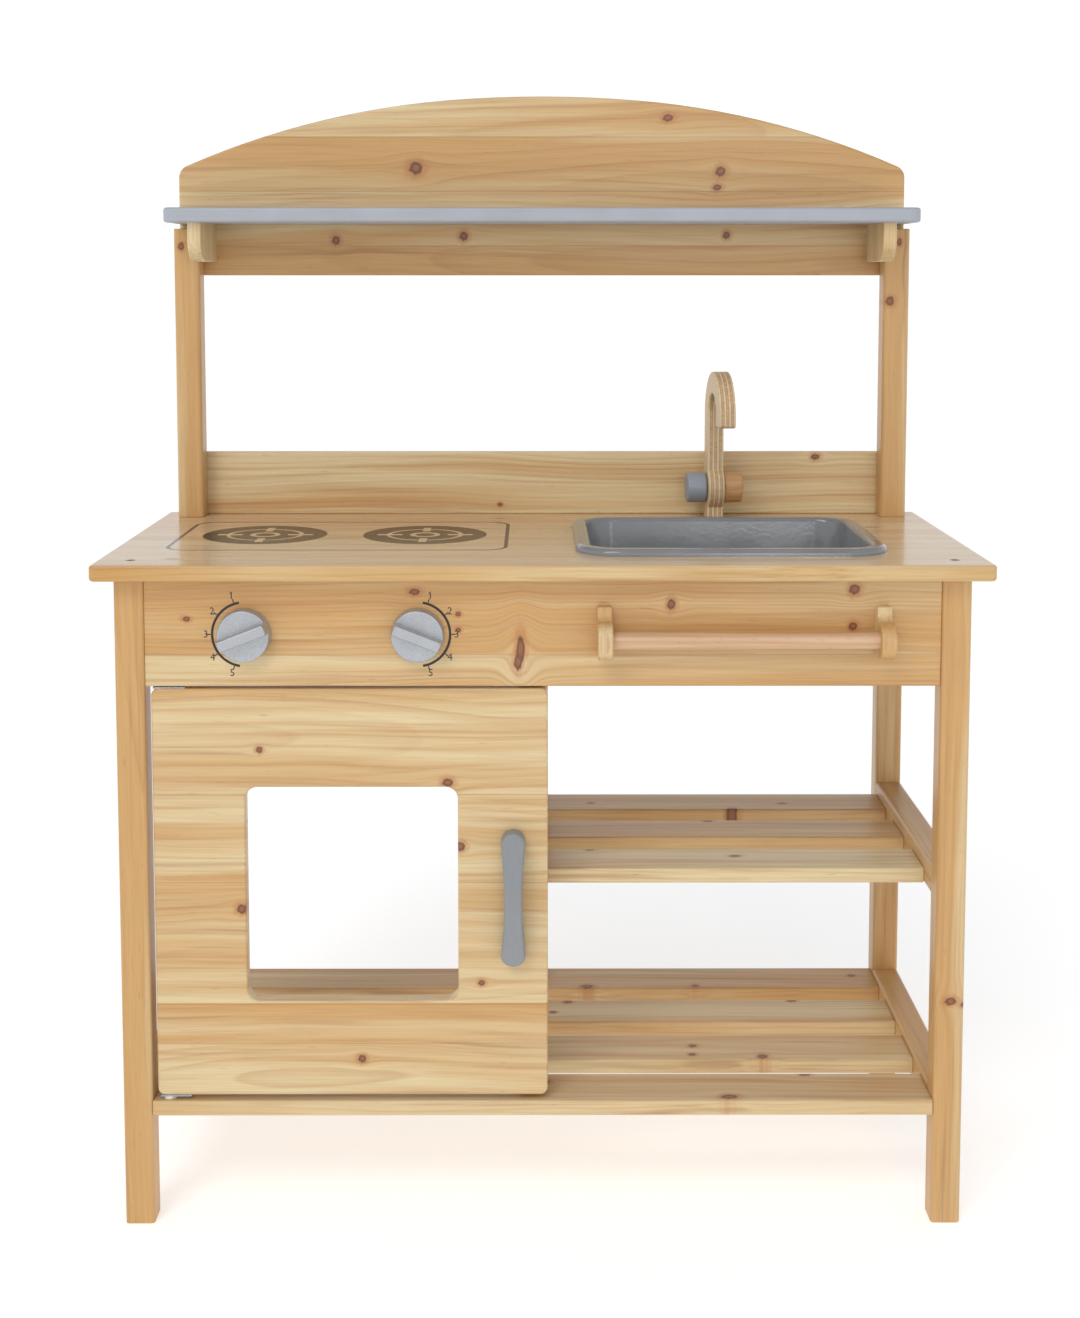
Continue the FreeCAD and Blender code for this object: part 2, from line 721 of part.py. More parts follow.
# ---- knobs ----
def make_knob(x, tilt):
    """Round knob with a raised grip bar across it and a boss through the apron, bored for its screw."""
    back = apron_front - knob_gap
    centre = (x, back, knob_z)
    disc = Part.makeCone(knob_radius, knob_radius - 0.8, knob_face, Vec(*centre), -Y_AXIS)
    disc = disc.makeFillet(1.2, edges_at(disc, Y_AXIS, back - knob_face))
    grip = Part.makeCone(knob_radius, knob_radius - 1.6, knob_bar_height, Vec(*centre), -Y_AXIS)
    half = knob_bar_width / 2
    slab = block((x - 30, x + 30), (back - knob_bar_height, back), (knob_z - half, knob_z + half))
    slab.rotate(Vec(*centre), Y_AXIS, -tilt)
    grip = grip.common(slab)
    grip = grip.makeFillet(1.5, edges_at(grip, Y_AXIS, back - knob_bar_height))
    boss = rod(knob_boss_radius, apron_thick - 0.5 + knob_gap, centre, Y_AXIS)
    screw_tip = apron_back + 0.3 - knob_screw_length
    bore = rod(knob_screw_radius, knob_screw_length, (x, screw_tip, knob_z), Y_AXIS)
    return disc.fuse([grip, boss]).removeSplitter().cut(bore)


def make_knob_screw(x):
    """Flange-headed screw from behind the apron into the knob's boss."""
    seat = apron_back + 0.3
    head = Part.makeCone(8.0, 5.5, 2.6, Vec(x, seat, knob_z), Y_AXIS)
    shank = rod(knob_screw_radius, knob_screw_length, (x, seat - knob_screw_length, knob_z), Y_AXIS)
    slot = block((x - 3.5, x + 3.5), (seat + 1.6, seat + 3.0), (knob_z - 0.5, knob_z + 0.5))
    return head.fuse(shank).cut(slot).removeSplitter()


# ---- sink basin ----
def make_basin():
    """Tray with a raised rim that rests on the worktop, drafted walls and a rounded bottom."""
    x, y = basin_centre
    rim_top = worktop_top + basin_rim_height
    mouth = (basin_size[0] - 2 * basin_rim_width, basin_size[1] - 2 * basin_rim_width)
    floor = (mouth[0] - 2 * basin_draft, mouth[1] - 2 * basin_draft)
    bottom = worktop_top - basin_depth
    rim = Part.Face(round_rect(basin_centre, basin_size, 36.0, worktop_top))
    rim = rim.extrude(Z_AXIS * basin_rim_height)
    rim = rim.makeFillet(4.5, edges_at(rim, Z_AXIS, rim_top))
    outer_floor = (floor[0] + 2 * basin_wall, floor[1] + 2 * basin_wall)
    outer_mouth = (mouth[0] + 2 * basin_wall, mouth[1] + 2 * basin_wall)
    shell = Part.makeLoft([
        round_rect(basin_centre, outer_floor, 20.0, bottom),
        round_rect(basin_centre, outer_mouth, 26.0, worktop_top + 1.0),
    ], True, True)
    shell = shell.makeFillet(12.0, edges_at(shell, Z_AXIS, bottom))
    cavity = Part.makeLoft([
        round_rect(basin_centre, floor, 18.0, bottom + basin_wall),
        round_rect(basin_centre, mouth, 24.0, rim_top),
    ], True, True)
    cavity = cavity.makeFillet(10.0, edges_at(cavity, Z_AXIS, bottom + basin_wall))
    shape = rim.fuse(shell).removeSplitter().cut(cavity)
    lip = [e for e in edges_at(shape, Z_AXIS, rim_top)
           if e.BoundBox.XMin > x - mouth[0] / 2 - 1 and e.BoundBox.XMax < x + mouth[0] / 2 + 1
           and e.BoundBox.YMin > y - mouth[1] / 2 - 1 and e.BoundBox.YMax < y + mouth[1] / 2 + 1]
    return shape.makeFillet(4.0, lip)


# ---- tap ----
def turned(shape):
    """A piece of the tap, turned with it about the upright bolt."""
    shape.rotate(Vec(tap_x, tap_y, 0), Z_AXIS, tap_turn)
    return shape


def make_tap_spout():
    """Plywood hook on edge: an upright with a round boss at the axle and a half-turn to the spout."""
    x_low = tap_x - tap_thick / 2
    back = tap_y + tap_width / 2
    hub_y = back - tap_bend
    hub_z = tap_top - tap_bend
    hole = tap_bend - tap_width
    base = worktop_top + tap_lift

    def at(y, z):
        return Vec(x_low, y, z)

    outline = [
        line(at(back, base), at(back, hub_z)),
        arc(at(back, hub_z), at(hub_y, tap_top), at(hub_y - tap_bend, hub_z)),
        line(at(hub_y - tap_bend, hub_z), at(hub_y - tap_bend, tap_tip)),
        line(at(hub_y - tap_bend, tap_tip), at(hub_y - hole, tap_tip)),
        line(at(hub_y - hole, tap_tip), at(hub_y - hole, hub_z)),
        arc(at(hub_y - hole, hub_z), at(hub_y, hub_z + hole), at(hub_y + hole, hub_z)),
        line(at(hub_y + hole, hub_z), at(hub_y + hole, base)),
        line(at(hub_y + hole, base), at(back, base)),
    ]
    shape = prism(outline, X_AXIS * tap_thick)
    tips = [e for e in straight_edges(shape, X_AXIS) if abs(e.Vertexes[0].Point.z - tap_tip) < 1e-3]
    shape = shape.makeFillet(2.5, tips)
    shape = shape.fuse(rod(tap_boss_radius, tap_thick, (x_low, tap_y, tap_axle_z), X_AXIS)).removeSplitter()
    rims = edges_at(shape, X_AXIS, x_low) + edges_at(shape, X_AXIS, x_low + tap_thick)
    rims = [e for e in rims if e.BoundBox.ZMax > base + 0.01]
    shape = shape.makeFillet(1.5, rims)
    hole_radius = tap_axle_radius + clearance
    shape = shape.cut(rod(hole_radius, tap_thick, (x_low, tap_y, tap_axle_z), X_AXIS))
    return shape.cut(rod(tap_bolt_radius, 20.0, (tap_x, tap_y, base), Z_AXIS))


def make_tap_bolt():
    """Bolt from under the worktop into the foot of the tap."""
    head_top = worktop_under - 0.3
    head = 4.0
    shank = worktop_top + tap_lift + 20.0 - head_top
    bolt = rod(7.0, head, (tap_x, tap_y, head_top - head), Z_AXIS)
    bolt = bolt.fuse(rod(tap_bolt_radius, shank, (tap_x, tap_y, head_top), Z_AXIS))
    slot = block((tap_x - 5, tap_x + 5), (tap_y - 0.6, tap_y + 0.6), (head_top - head, head_top - 2.8))
    return bolt.cut(slot).removeSplitter()


def make_tap_axle():
    half = tap_thick / 2 + handle_gap + axle_seat
    return rod(tap_axle_radius, 2 * half, (tap_x - half, tap_y, tap_axle_z), X_AXIS)


def make_tap_handle(sign):
    """Short round grip pressed on the end of the axle."""
    outward = X_AXIS * sign
    start = Vec(tap_x, tap_y, tap_axle_z) + outward * (tap_thick / 2 + handle_gap)
    shape = Part.makeCylinder(tap_handle_radius, tap_handle_length, start, outward)
    shape = shape.makeFillet(2.0, [e for e in shape.Edges if e.Closed and e.Length > 10])
    return shape.cut(Part.makeCylinder(tap_axle_radius, axle_seat, start, outward))


make_uprights()
make_rails()
make_slats()
parts["front_apron"] = make_apron()
parts["worktop"] = make_worktop()
parts["splashback"] = make_splashback()
parts["arch_board"] = make_arch_board()
parts["top_shelf"] = make_top_shelf()
parts["shelf_bracket_left"] = make_shelf_bracket(-inner)
parts["shelf_bracket_right"] = make_shelf_bracket(inner - board_thick)
parts["towel_bracket_left"] = make_towel_bracket(towel_bracket_x[0])
parts["towel_bracket_right"] = make_towel_bracket(towel_bracket_x[1])
parts["towel_rod"] = rod(towel_rod_radius, towel_bracket_x[1] - towel_bracket_x[0],
                         (towel_bracket_x[0], apron_front - towel_reach + towel_bulge, towel_z), X_AXIS)
parts["hinge_bushes"] = hinge_bushes()
parts["magnet_catch"] = magnet_catch()
parts["catch_screws"] = catch_screws()

leaf_screws = hinge_leaf_screws()
parts["door_panel"] = make_door_panel()
parts["door_handle"] = make_door_handle()
parts["door_handle_screws"] = door_handle_screws()
parts["hinge_leaves"] = group([bored(leaf, [leaf_screws]) for leaf in hinge_leaves()])
parts["hinge_leaf_screws"] = leaf_screws
parts["strike_plate"] = strike_plate()

for name in ("left", "right"):
    parts["knob_" + name] = make_knob(knob_x[name], knob_tilt[name])
    parts["knob_screw_" + name] = make_knob_screw(knob_x[name])

parts["tap_spout"] = turned(make_tap_spout())
parts["tap_bolt"] = make_tap_bolt()
parts["tap_axle"] = turned(make_tap_axle())
parts["tap_handle_left"] = turned(make_tap_handle(-1))
parts["tap_handle_right"] = turned(make_tap_handle(1))
parts["sink_basin"] = make_basin()

# ---- seats for the fasteners, and export ----
fixings = ["frame_dowels", "cross_bolts", "barrel_nuts", "post_bolts", "slat_screws", "divider_screws",
           "back_board_screws", "towel_bracket_screws", "worktop_screws", "towel_rod", "hinge_bushes",
           "catch_screws", "door_handle_screws", "hinge_leaf_screws", "strike_plate"]
own_seats = ["knob_left", "knob_right", "knob_screw_left", "knob_screw_right", "tap_spout", "tap_bolt",
             "tap_axle", "tap_handle_left", "tap_handle_right", "sink_basin", "hinge_leaves"]
seats = [bush_seats() if name == "hinge_bushes" else parts[name] for name in fixings]

for name, shape in parts.items():
    if name not in fixings and name not in own_seats:
        shape = bored(shape, seats)
        parts[name] = shape
    for solid in shape.Solids:
        if not solid.isValid():
            print("not valid:", name)
    if len(shape.Solids) == 1:
        shape = shape.Solids[0]
    shape.exportStep("parts/%s.step" % name)

box = group(list(parts.values())).BoundBox
print("%d nodes, box %.1f x %.1f x %.1f mm" % (len(parts), box.XLength, box.YLength, box.ZLength))
print("low corner %.2f %.2f %.2f" % (box.XMin, box.YMin, box.ZMin))
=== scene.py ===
import math

import bmesh
import bpy
from mathutils import Matrix, Vector


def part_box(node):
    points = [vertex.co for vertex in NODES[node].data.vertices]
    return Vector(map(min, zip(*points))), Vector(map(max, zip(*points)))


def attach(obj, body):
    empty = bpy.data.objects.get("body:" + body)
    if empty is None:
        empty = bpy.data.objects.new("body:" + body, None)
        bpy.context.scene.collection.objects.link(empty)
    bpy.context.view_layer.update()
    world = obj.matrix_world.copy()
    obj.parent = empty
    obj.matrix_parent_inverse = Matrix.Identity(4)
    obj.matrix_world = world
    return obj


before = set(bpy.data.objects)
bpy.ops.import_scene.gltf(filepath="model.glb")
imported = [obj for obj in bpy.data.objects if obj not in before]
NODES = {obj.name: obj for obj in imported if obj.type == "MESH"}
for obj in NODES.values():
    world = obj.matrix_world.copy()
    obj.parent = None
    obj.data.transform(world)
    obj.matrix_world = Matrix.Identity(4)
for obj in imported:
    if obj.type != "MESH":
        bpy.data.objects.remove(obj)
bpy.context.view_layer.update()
MM = 0.001


# ---- places read from the frame ----
def middle(node):
    low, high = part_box(node)
    return (low + high) / 2


APRON_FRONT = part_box("front_apron")[0].y
WORKTOP_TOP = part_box("worktop")[1].z
KNOB_CENTRES = {"left": middle("knob_left"), "right": middle("knob_right")}
TAP_CENTRE = middle("tap_axle")
TAP_TURN = math.radians(4.0)


# ---- colours, as sRGB values of the surfaces ----
def srgb(red, green, blue):
    """Linear colour with alpha from 8-bit sRGB values."""
    linear = []
    for value in (red, green, blue):
        value = value / 255
        linear.append(value / 12.92 if value <= 0.04045 else ((value + 0.055) / 1.055) ** 2.4)
    return (*linear, 1.0)


FIR_PALE = srgb(216, 196, 152)
FIR_WARM = srgb(198, 155, 97)
FIR_LATE = srgb(174, 122, 68)
FIR_DARK = srgb(132, 84, 46)
KNOT_BARK = srgb(82, 44, 27)
KNOT_HEART = srgb(142, 86, 50)
HALO = srgb(176, 106, 54)
INK = srgb(34, 29, 26)
PRINT_BLACK = srgb(28, 27, 27)


# ---- node graphs ----
class Graph:
    """Short calls for the shader nodes that the materials are made of."""

    def __init__(self, tree):
        self.tree = tree

    def node(self, kind, **settings):
        made = self.tree.nodes.new(kind)
        for name, value in settings.items():
            setattr(made, name, value)
        return made

    def put(self, socket, value):
        if isinstance(value, bpy.types.NodeSocket):
            self.tree.links.new(value, socket)
        else:
            socket.default_value = value

    def math(self, operation, *values):
        made = self.node("ShaderNodeMath", operation=operation)
        for socket, value in zip(made.inputs, values):
            self.put(socket, value)
        return made.outputs[0]

    def add(self, a, b):
        return self.math("ADD", a, b)

    def sub(self, a, b):
        return self.math("SUBTRACT", a, b)

    def mul(self, a, b):
        return self.math("MULTIPLY", a, b)

    def length(self, a, b):
        return self.math("SQRT", self.add(self.mul(a, a), self.mul(b, b)))

    def step(self, value, low, high, out_low=0.0, out_high=1.0):
        """A smooth step of value from low to high."""
        made = self.node("ShaderNodeMapRange", interpolation_type="SMOOTHSTEP")
        self.put(made.inputs["Value"], value)
        self.put(made.inputs["From Min"], low)
        self.put(made.inputs["From Max"], high)
        self.put(made.inputs["To Min"], out_low)
        self.put(made.inputs["To Max"], out_high)
        return made.outputs[0]

    def vector(self, x, y, z):
        made = self.node("ShaderNodeCombineXYZ")
        for socket, value in zip(made.inputs, (x, y, z)):
            self.put(socket, value)
        return made.outputs[0]

    def noise(self, vector, scale=1.0, detail=2.0, rough=0.5, distortion=0.0):
        made = self.node("ShaderNodeTexNoise")
        self.put(made.inputs["Vector"], vector)
        made.inputs["Scale"].default_value = scale
        made.inputs["Detail"].default_value = detail
        made.inputs["Roughness"].default_value = rough
        made.inputs["Distortion"].default_value = distortion
        return made.outputs["Fac"]

    def chance(self, value):
        """A random colour and number for each whole value."""
        made = self.node("ShaderNodeTexWhiteNoise", noise_dimensions="1D")
        self.put(made.inputs["W"], value)
        split = self.node("ShaderNodeSeparateColor")
        self.put(split.inputs[0], made.outputs["Color"])
        return split.outputs[0], split.outputs[1], split.outputs[2]

    def ramp(self, factor, stops, interpolation="LINEAR"):
        made = self.node("ShaderNodeValToRGB")
        made.color_ramp.interpolation = interpolation
        elements = made.color_ramp.elements
        while len(elements) < len(stops):
            elements.new(0.5)
        for element, (position, colour) in zip(elements, stops):
            element.position = position
            element.color = colour if hasattr(colour, "__len__") else (colour, colour, colour, 1)
        self.put(made.inputs[0], factor)
        return made.outputs[0]

    def mix(self, factor, a, b, blend="MIX"):
        made = self.node("ShaderNodeMix", data_type="RGBA", blend_type=blend, clamp_factor=True)
        self.put(made.inputs[0], factor)
        self.put(made.inputs[6], a)
        self.put(made.inputs[7], b)
        return made.outputs[2]

    def place(self):
        """The three coordinates of the row frame."""
        coordinates = self.node("ShaderNodeTexCoord")
        split = self.node("ShaderNodeSeparateXYZ")
        self.put(split.inputs[0], coordinates.outputs["Object"])
        return dict(zip("XYZ", split.outputs))

    def bump(self, height, distance):
        made = self.node("ShaderNodeBump")
        made.inputs["Strength"].default_value = 1.0
        made.inputs["Distance"].default_value = distance
        self.put(made.inputs["Height"], height)
        return made.outputs["Normal"]


def new_material(name):
    """A material with an empty graph and its shader."""
    material = bpy.data.materials.new(name)
    material.use_nodes = True
    tree = material.node_tree
    tree.nodes.clear()
    graph = Graph(tree)
    shader = graph.node("ShaderNodeBsdfPrincipled")
    output = graph.node("ShaderNodeOutputMaterial")
    tree.links.new(shader.outputs[0], output.inputs[0])
    return material, graph, shader


def paint(node, material):
    """Give every slot of a carried-over CAD node one material."""
    data = NODES[node].data
    data.materials.clear()
    data.materials.append(material)


# ---- wood ----
def group_sockets(name, inputs, outputs):
    tree = bpy.data.node_groups.new(name, "ShaderNodeTree")
    for label, kind in inputs:
        tree.interface.new_socket(label, in_out="INPUT", socket_type=kind)
    for label, kind in outputs:
        tree.interface.new_socket(label, in_out="OUTPUT", socket_type=kind)
    graph = Graph(tree)
    entry = graph.node("NodeGroupInput")
    leave = graph.node("NodeGroupOutput")
    return tree, graph, {s.name: s for s in entry.outputs if s.name}, leave


def knot_group():
    """One knot: how far a point is from it in knot radii, and how it pushes the grain aside."""
    labels = ["Along", "Across", "Bent", "Nearest", "Centre along", "Centre across", "Radius", "Stretch"]
    tree, g, inputs, leave = group_sockets(
        "knot", [(label, "NodeSocketFloat") for label in labels],
        [("Bent", "NodeSocketFloat"), ("Nearest", "NodeSocketFloat")])
    along = g.sub(inputs["Along"], inputs["Centre along"])
    across = g.sub(inputs["Across"], inputs["Centre across"])
    radii_along = g.math("DIVIDE", along, g.mul(inputs["Radius"], inputs["Stretch"]))
    radii_across = g.math("DIVIDE", across, inputs["Radius"])
    wobble = g.noise(g.vector(radii_along, radii_across, inputs["Centre along"]), 1.3, 2.0, 0.6)
    distance = g.mul(g.length(radii_along, radii_across), g.step(wobble, 0.25, 0.75, 0.84, 1.20))
    long_way = g.mul(radii_along, 0.28)
    wide_way = g.mul(radii_across, 0.42)
    falloff = g.math("EXPONENT", g.mul(g.add(g.mul(long_way, long_way), g.mul(wide_way, wide_way)), -1.0))
    push = g.mul(g.mul(across, falloff), 0.8)
    g.put(leave.inputs["Bent"], g.sub(inputs["Bent"], push))
    g.put(leave.inputs["Nearest"], g.math("MINIMUM", inputs["Nearest"], distance))
    return tree


def figure_group():
    """Growth rings, colour bands and fibres of softwood, cut from a log that lies along the grain."""
    labels = ["Along", "Across", "Depth", "Stave", "Centre", "Seed", "Ring", "Contrast", "Tone"]
    tree, g, inputs, leave = group_sockets(
        "softwood", [(label, "NodeSocketFloat") for label in labels],
        [("Color", "NodeSocketColor"), ("Late", "NodeSocketFloat"), ("Fibre", "NodeSocketFloat")])
    along, across, depth, seed = (inputs[label] for label in ("Along", "Across", "Depth", "Seed"))
    stave, centre = inputs["Stave"], inputs["Centre"]
    chance_a, chance_b, chance_c = g.chance(g.add(g.mul(stave, 7.31), g.mul(seed, 3.17)))
    spread = g.add(seed, g.mul(stave, 5.0))
    heart_side = g.mul(g.sub(chance_a, 0.5), 0.10)
    heart_depth = g.add(g.mul(chance_b, 0.07), 0.022)
    slow = g.vector(g.mul(along, 2.4), g.mul(across, 5.0), spread)
    sway = g.mul(g.sub(g.noise(slow, 1.0, 2.0, 0.45), 0.5), 0.030)
    other = g.vector(spread, g.mul(along, 1.7), g.mul(across, 4.0))
    lift = g.mul(g.sub(g.noise(other, 1.0, 1.0), 0.5), 0.045)
    ripple_place = g.vector(g.mul(along, 14.0), g.mul(across, 40.0), g.add(spread, 9.0))
    ripple = g.mul(g.sub(g.noise(ripple_place, 1.0, 2.0, 0.5), 0.5), 0.0022)
    side = g.add(g.add(g.sub(g.sub(across, centre), heart_side), sway), ripple)
    radius = g.length(side, g.add(g.add(depth, heart_depth), lift))
    uneven = g.noise(g.vector(g.mul(radius, 60.0), seed, 0.0), 1.0, 1.0)
    turn = g.add(g.math("DIVIDE", radius, inputs["Ring"]), g.mul(uneven, 2.2))
    late = g.ramp(g.math("FRACT", turn), [(0.0, 0.0), (0.45, 0.10), (0.80, 0.62), (0.93, 1.0), (1.0, 0.0)])
    year, _, _ = g.chance(g.math("FLOOR", turn))
    patch = g.noise(g.vector(g.mul(along, 2.2), g.mul(across, 22.0), g.add(spread, 3.0)), 1.0, 2.0, 0.5)
    late = g.mul(g.mul(late, g.add(g.mul(year, 0.8), 0.2)), g.step(patch, 0.28, 0.72, 0.25, 1.0))
    late = g.mul(late, inputs["Contrast"])
    band_place = g.vector(g.mul(along, 1.3), g.mul(g.add(across, sway), 34.0), g.add(spread, 6.0))
    band = g.noise(band_place, 1.0, 3.0, 0.55)
    fibre_place = g.vector(g.mul(along, 22.0), g.mul(across, 900.0), g.mul(depth, 900.0))
    fibre = g.noise(fibre_place, 1.0, 3.0, 0.6)
    swayed = g.add(across, sway)
    streak_place = g.vector(g.mul(along, 4.0), g.mul(swayed, 210.0), g.add(g.mul(depth, 210.0), spread))
    streak = g.noise(streak_place, 1.0, 2.0, 0.55)
    warmth = g.add(g.step(band, 0.34, 0.66, -0.1, 0.85), g.mul(g.sub(chance_c, 0.5), 0.2))
    warmth = g.add(warmth, inputs["Tone"])
    colour = g.mix(warmth, FIR_PALE, FIR_WARM)
    colour = g.mix(g.step(streak, 0.46, 0.76, 0.0, 0.5), colour, FIR_LATE)
    colour = g.mix(g.mul(late, 0.72), colour, FIR_LATE)
    stain_depth = g.add(g.mul(depth, 60.0), g.mul(spread, 1.7))
    stain_place = g.vector(g.mul(along, 2.6), g.mul(swayed, 95.0), stain_depth)
    stain = g.step(g.noise(stain_place, 1.0, 2.0, 0.6), 0.63, 0.76, 0.0, 0.40)
    colour = g.mix(stain, colour, FIR_DARK)
    shade = g.step(fibre, 0.25, 0.75, 0.93, 1.05)
    colour = g.mix(1.0, colour, g.vector(shade, shade, shade), "MULTIPLY")
    fleck_place = g.vector(g.mul(along, 55.0), g.mul(across, 620.0), g.add(g.mul(depth, 620.0), 4.0))
    fleck = g.step(g.noise(fleck_place, 1.0, 1.0), 0.70, 0.82, 0.0, 0.30)
    colour = g.mix(fleck, colour, FIR_DARK)
    g.put(leave.inputs["Color"], colour)
    g.put(leave.inputs["Late"], late)
    g.put(leave.inputs["Fibre"], fibre)
    return tree


KNOT_GROUP = knot_group()
FIGURE_GROUP = figure_group()


def use_group(g, tree, values):
    made = g.node("ShaderNodeGroup", node_tree=tree)
    for label, value in values.items():
        g.put(made.inputs[label], value)
    return made.outputs


STAVE_STEP = 1 / 16                     # of the green channel that carries a stave's number
TONE_RANGE = 4.0                        # of the blue channel that carries its tone, about 0.5


def find_staves(g, across, low, high, tone, staves):
    """Number, middle and tone of the stave that a point is in. Staves are (upper edge in mm, tone) pairs."""
    if not staves:
        return 0.0, (low + high) / 2, tone
    stops = []
    start = low
    for number, (edge, own_tone) in enumerate(staves):
        end = edge * MM if edge is not None else high
        middle_share = ((start + end) / 2 - low) / (high - low)
        tone_share = 0.5 + (tone + own_tone) / TONE_RANGE
        stops.append(((start - low) / (high - low), (middle_share, number * STAVE_STEP, tone_share, 1)))
        start = end
    share = g.math("DIVIDE", g.sub(across, low), high - low)
    split = g.node("ShaderNodeSeparateColor")
    g.put(split.inputs[0], g.ramp(share, stops, "CONSTANT"))
    centre = g.add(g.mul(split.outputs[0], high - low), low)
    return g.mul(split.outputs[1], 1 / STAVE_STEP), centre, g.mul(g.sub(split.outputs[2], 0.5), TONE_RANGE)


def glue_lines(g, across, colour, staves):
    """Fine dark joints between staves."""
    for edge, _ in staves[:-1]:
        near = g.math("ABSOLUTE", g.sub(across, edge * MM))
        colour = g.mix(g.step(near, 0.0001, 0.0006, 0.35, 0.0), colour, FIR_DARK)
    return colour


def wood_figure(g, node, axes, staves, seed, ring, contrast, tone, knots):
    """Colour, late wood and fibre of a board whose axes are given as grain, across and depth.

    Knots are (place along the grain, place across it, radius in mm, stretch along the grain).
    """
    place = g.place()
    along, across, depth = (place[axis] for axis in axes)
    mid_depth = getattr(middle(node), axes[2].lower())
    low, high = (getattr(corner, axes[1].lower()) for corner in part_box(node))
    stave, centre, tone = find_staves(g, across, low, high, tone, staves)
    bent = across
    nearest = 99.0
    for knot_along, knot_across, radius, stretch in knots:
        found = use_group(g, KNOT_GROUP, {
            "Along": along, "Across": across, "Bent": bent, "Nearest": nearest,
            "Centre along": knot_along * MM, "Centre across": knot_across * MM,
            "Radius": radius * MM, "Stretch": stretch})
        bent = found["Bent"]
        nearest = found["Nearest"]
    figure = use_group(g, FIGURE_GROUP, {
        "Along": along, "Across": bent, "Depth": g.sub(depth, mid_depth), "Stave": stave,
        "Centre": centre, "Seed": seed, "Ring": ring, "Contrast": contrast, "Tone": tone})
    colour = glue_lines(g, across, figure["Color"], staves) if staves else figure["Color"]
    if knots:
        colour = g.mix(g.step(nearest, 0.9, 2.3, 0.55, 0.0), colour, HALO)
        heart = g.ramp(nearest, [(0.0, KNOT_HEART), (0.35, KNOT_HEART), (0.72, KNOT_BARK), (1.0, KNOT_BARK)])
        speck = g.noise(g.vector(g.mul(along, 900.0), g.mul(across, 900.0), 0.0), 1.0, 2.0, 0.6)
        heart = g.mix(g.step(speck, 0.4, 0.7, 0.0, 0.55), heart, FIR_DARK)
        colour = g.mix(g.step(nearest, 0.72, 1.15, 0.95, 0.0), colour, heart)
    return colour, figure["Late"], figure["Fibre"], place


def lacquer(g, shader, late, fibre, low, high, grain_depth):
    rough = g.add(g.step(fibre, 0.3, 0.7, low, high), g.mul(late, 0.05))
    g.put(shader.inputs["Roughness"], rough)
    height = g.sub(g.mul(fibre, 0.35), g.mul(late, 0.5))
    g.put(shader.inputs["Normal"], g.bump(height, grain_depth))


def fir(node, axes, seed, tone=0.0, staves=None, ring=0.0042, contrast=0.8, knots=()):
    """Clear-lacquered knotty fir for one board."""
    material, g, shader = new_material("fir_" + node)
    colour, late, fibre, _ = wood_figure(g, node, axes, staves, seed, ring, contrast, tone, knots)
    g.put(shader.inputs["Base Color"], colour)
    lacquer(g, shader, late, fibre, 0.36, 0.47, 0.00022)
    shader.inputs["Coat Weight"].default_value = 0.18
    shader.inputs["Coat Roughness"].default_value = 0.28
    paint(node, material)


# ---- the hob, printed on the worktop under its varnish ----
HOB_DISCS = [Vector((-244.7, 14.8)) * MM, Vector((-103.7, 14.8)) * MM]
HOB_DISC_RADIUS = 54.5 * MM
HOB_FRAME = ((-316.3 * MM, -31.2 * MM), (-72.0 * MM, 92.6 * MM))
HOB_CORNER = 18.0 * MM
HOB_LINE = 3.3 * MM
HOB_RING = (32.0 * MM, 1.75 * MM)       # radius and half width of the bare ring in a disc
HOB_EYE = (11.0 * MM, 2.4 * MM)
HOB_BAR = (31.0 * MM, 11.0 * MM, 3.4 * MM)      # middle, half length and half width of the bare bars
SOFT = 0.25 * MM


def inside(g, distance, limit):
    """1 where a distance is under the limit, with a soft printed edge."""
    return g.step(distance, limit - SOFT, limit + SOFT, 1.0, 0.0)


def about(g, distance, middle_distance, half_width):
    """1 where a distance is within half a width of a middle value."""
    return inside(g, g.math("ABSOLUTE", g.sub(distance, middle_distance)), half_width)


def hob_disc(g, x, y, centre):
    dx = g.math("ABSOLUTE", g.sub(x, centre.x))
    dy = g.math("ABSOLUTE", g.sub(y, centre.y))
    distance = g.length(dx, dy)
    ring = about(g, distance, *HOB_RING)
    eye = about(g, distance, *HOB_EYE)
    bare = g.math("MAXIMUM", ring, eye)
    bar_middle, bar_reach, bar_width = HOB_BAR
    for reach, width in ((dx, dy), (dy, dx)):
        bar = g.mul(inside(g, width, bar_width), about(g, reach, bar_middle, bar_reach))
        bare = g.math("MAXIMUM", bare, bar)
    return g.mul(inside(g, distance, HOB_DISC_RADIUS), g.sub(1.0, bare))


def hob_frame(g, x, y):
    (left, right), (front, back) = HOB_FRAME
    qx = g.sub(g.math("ABSOLUTE", g.sub(x, (left + right) / 2)), (right - left) / 2 - HOB_CORNER)
    qy = g.sub(g.math("ABSOLUTE", g.sub(y, (front + back) / 2)), (back - front) / 2 - HOB_CORNER)
    outer = g.length(g.math("MAXIMUM", qx, 0.0), g.math("MAXIMUM", qy, 0.0))
    edge = g.add(outer, g.math("MINIMUM", g.math("MAXIMUM", qx, qy), 0.0))
    return about(g, edge, HOB_CORNER, HOB_LINE / 2)


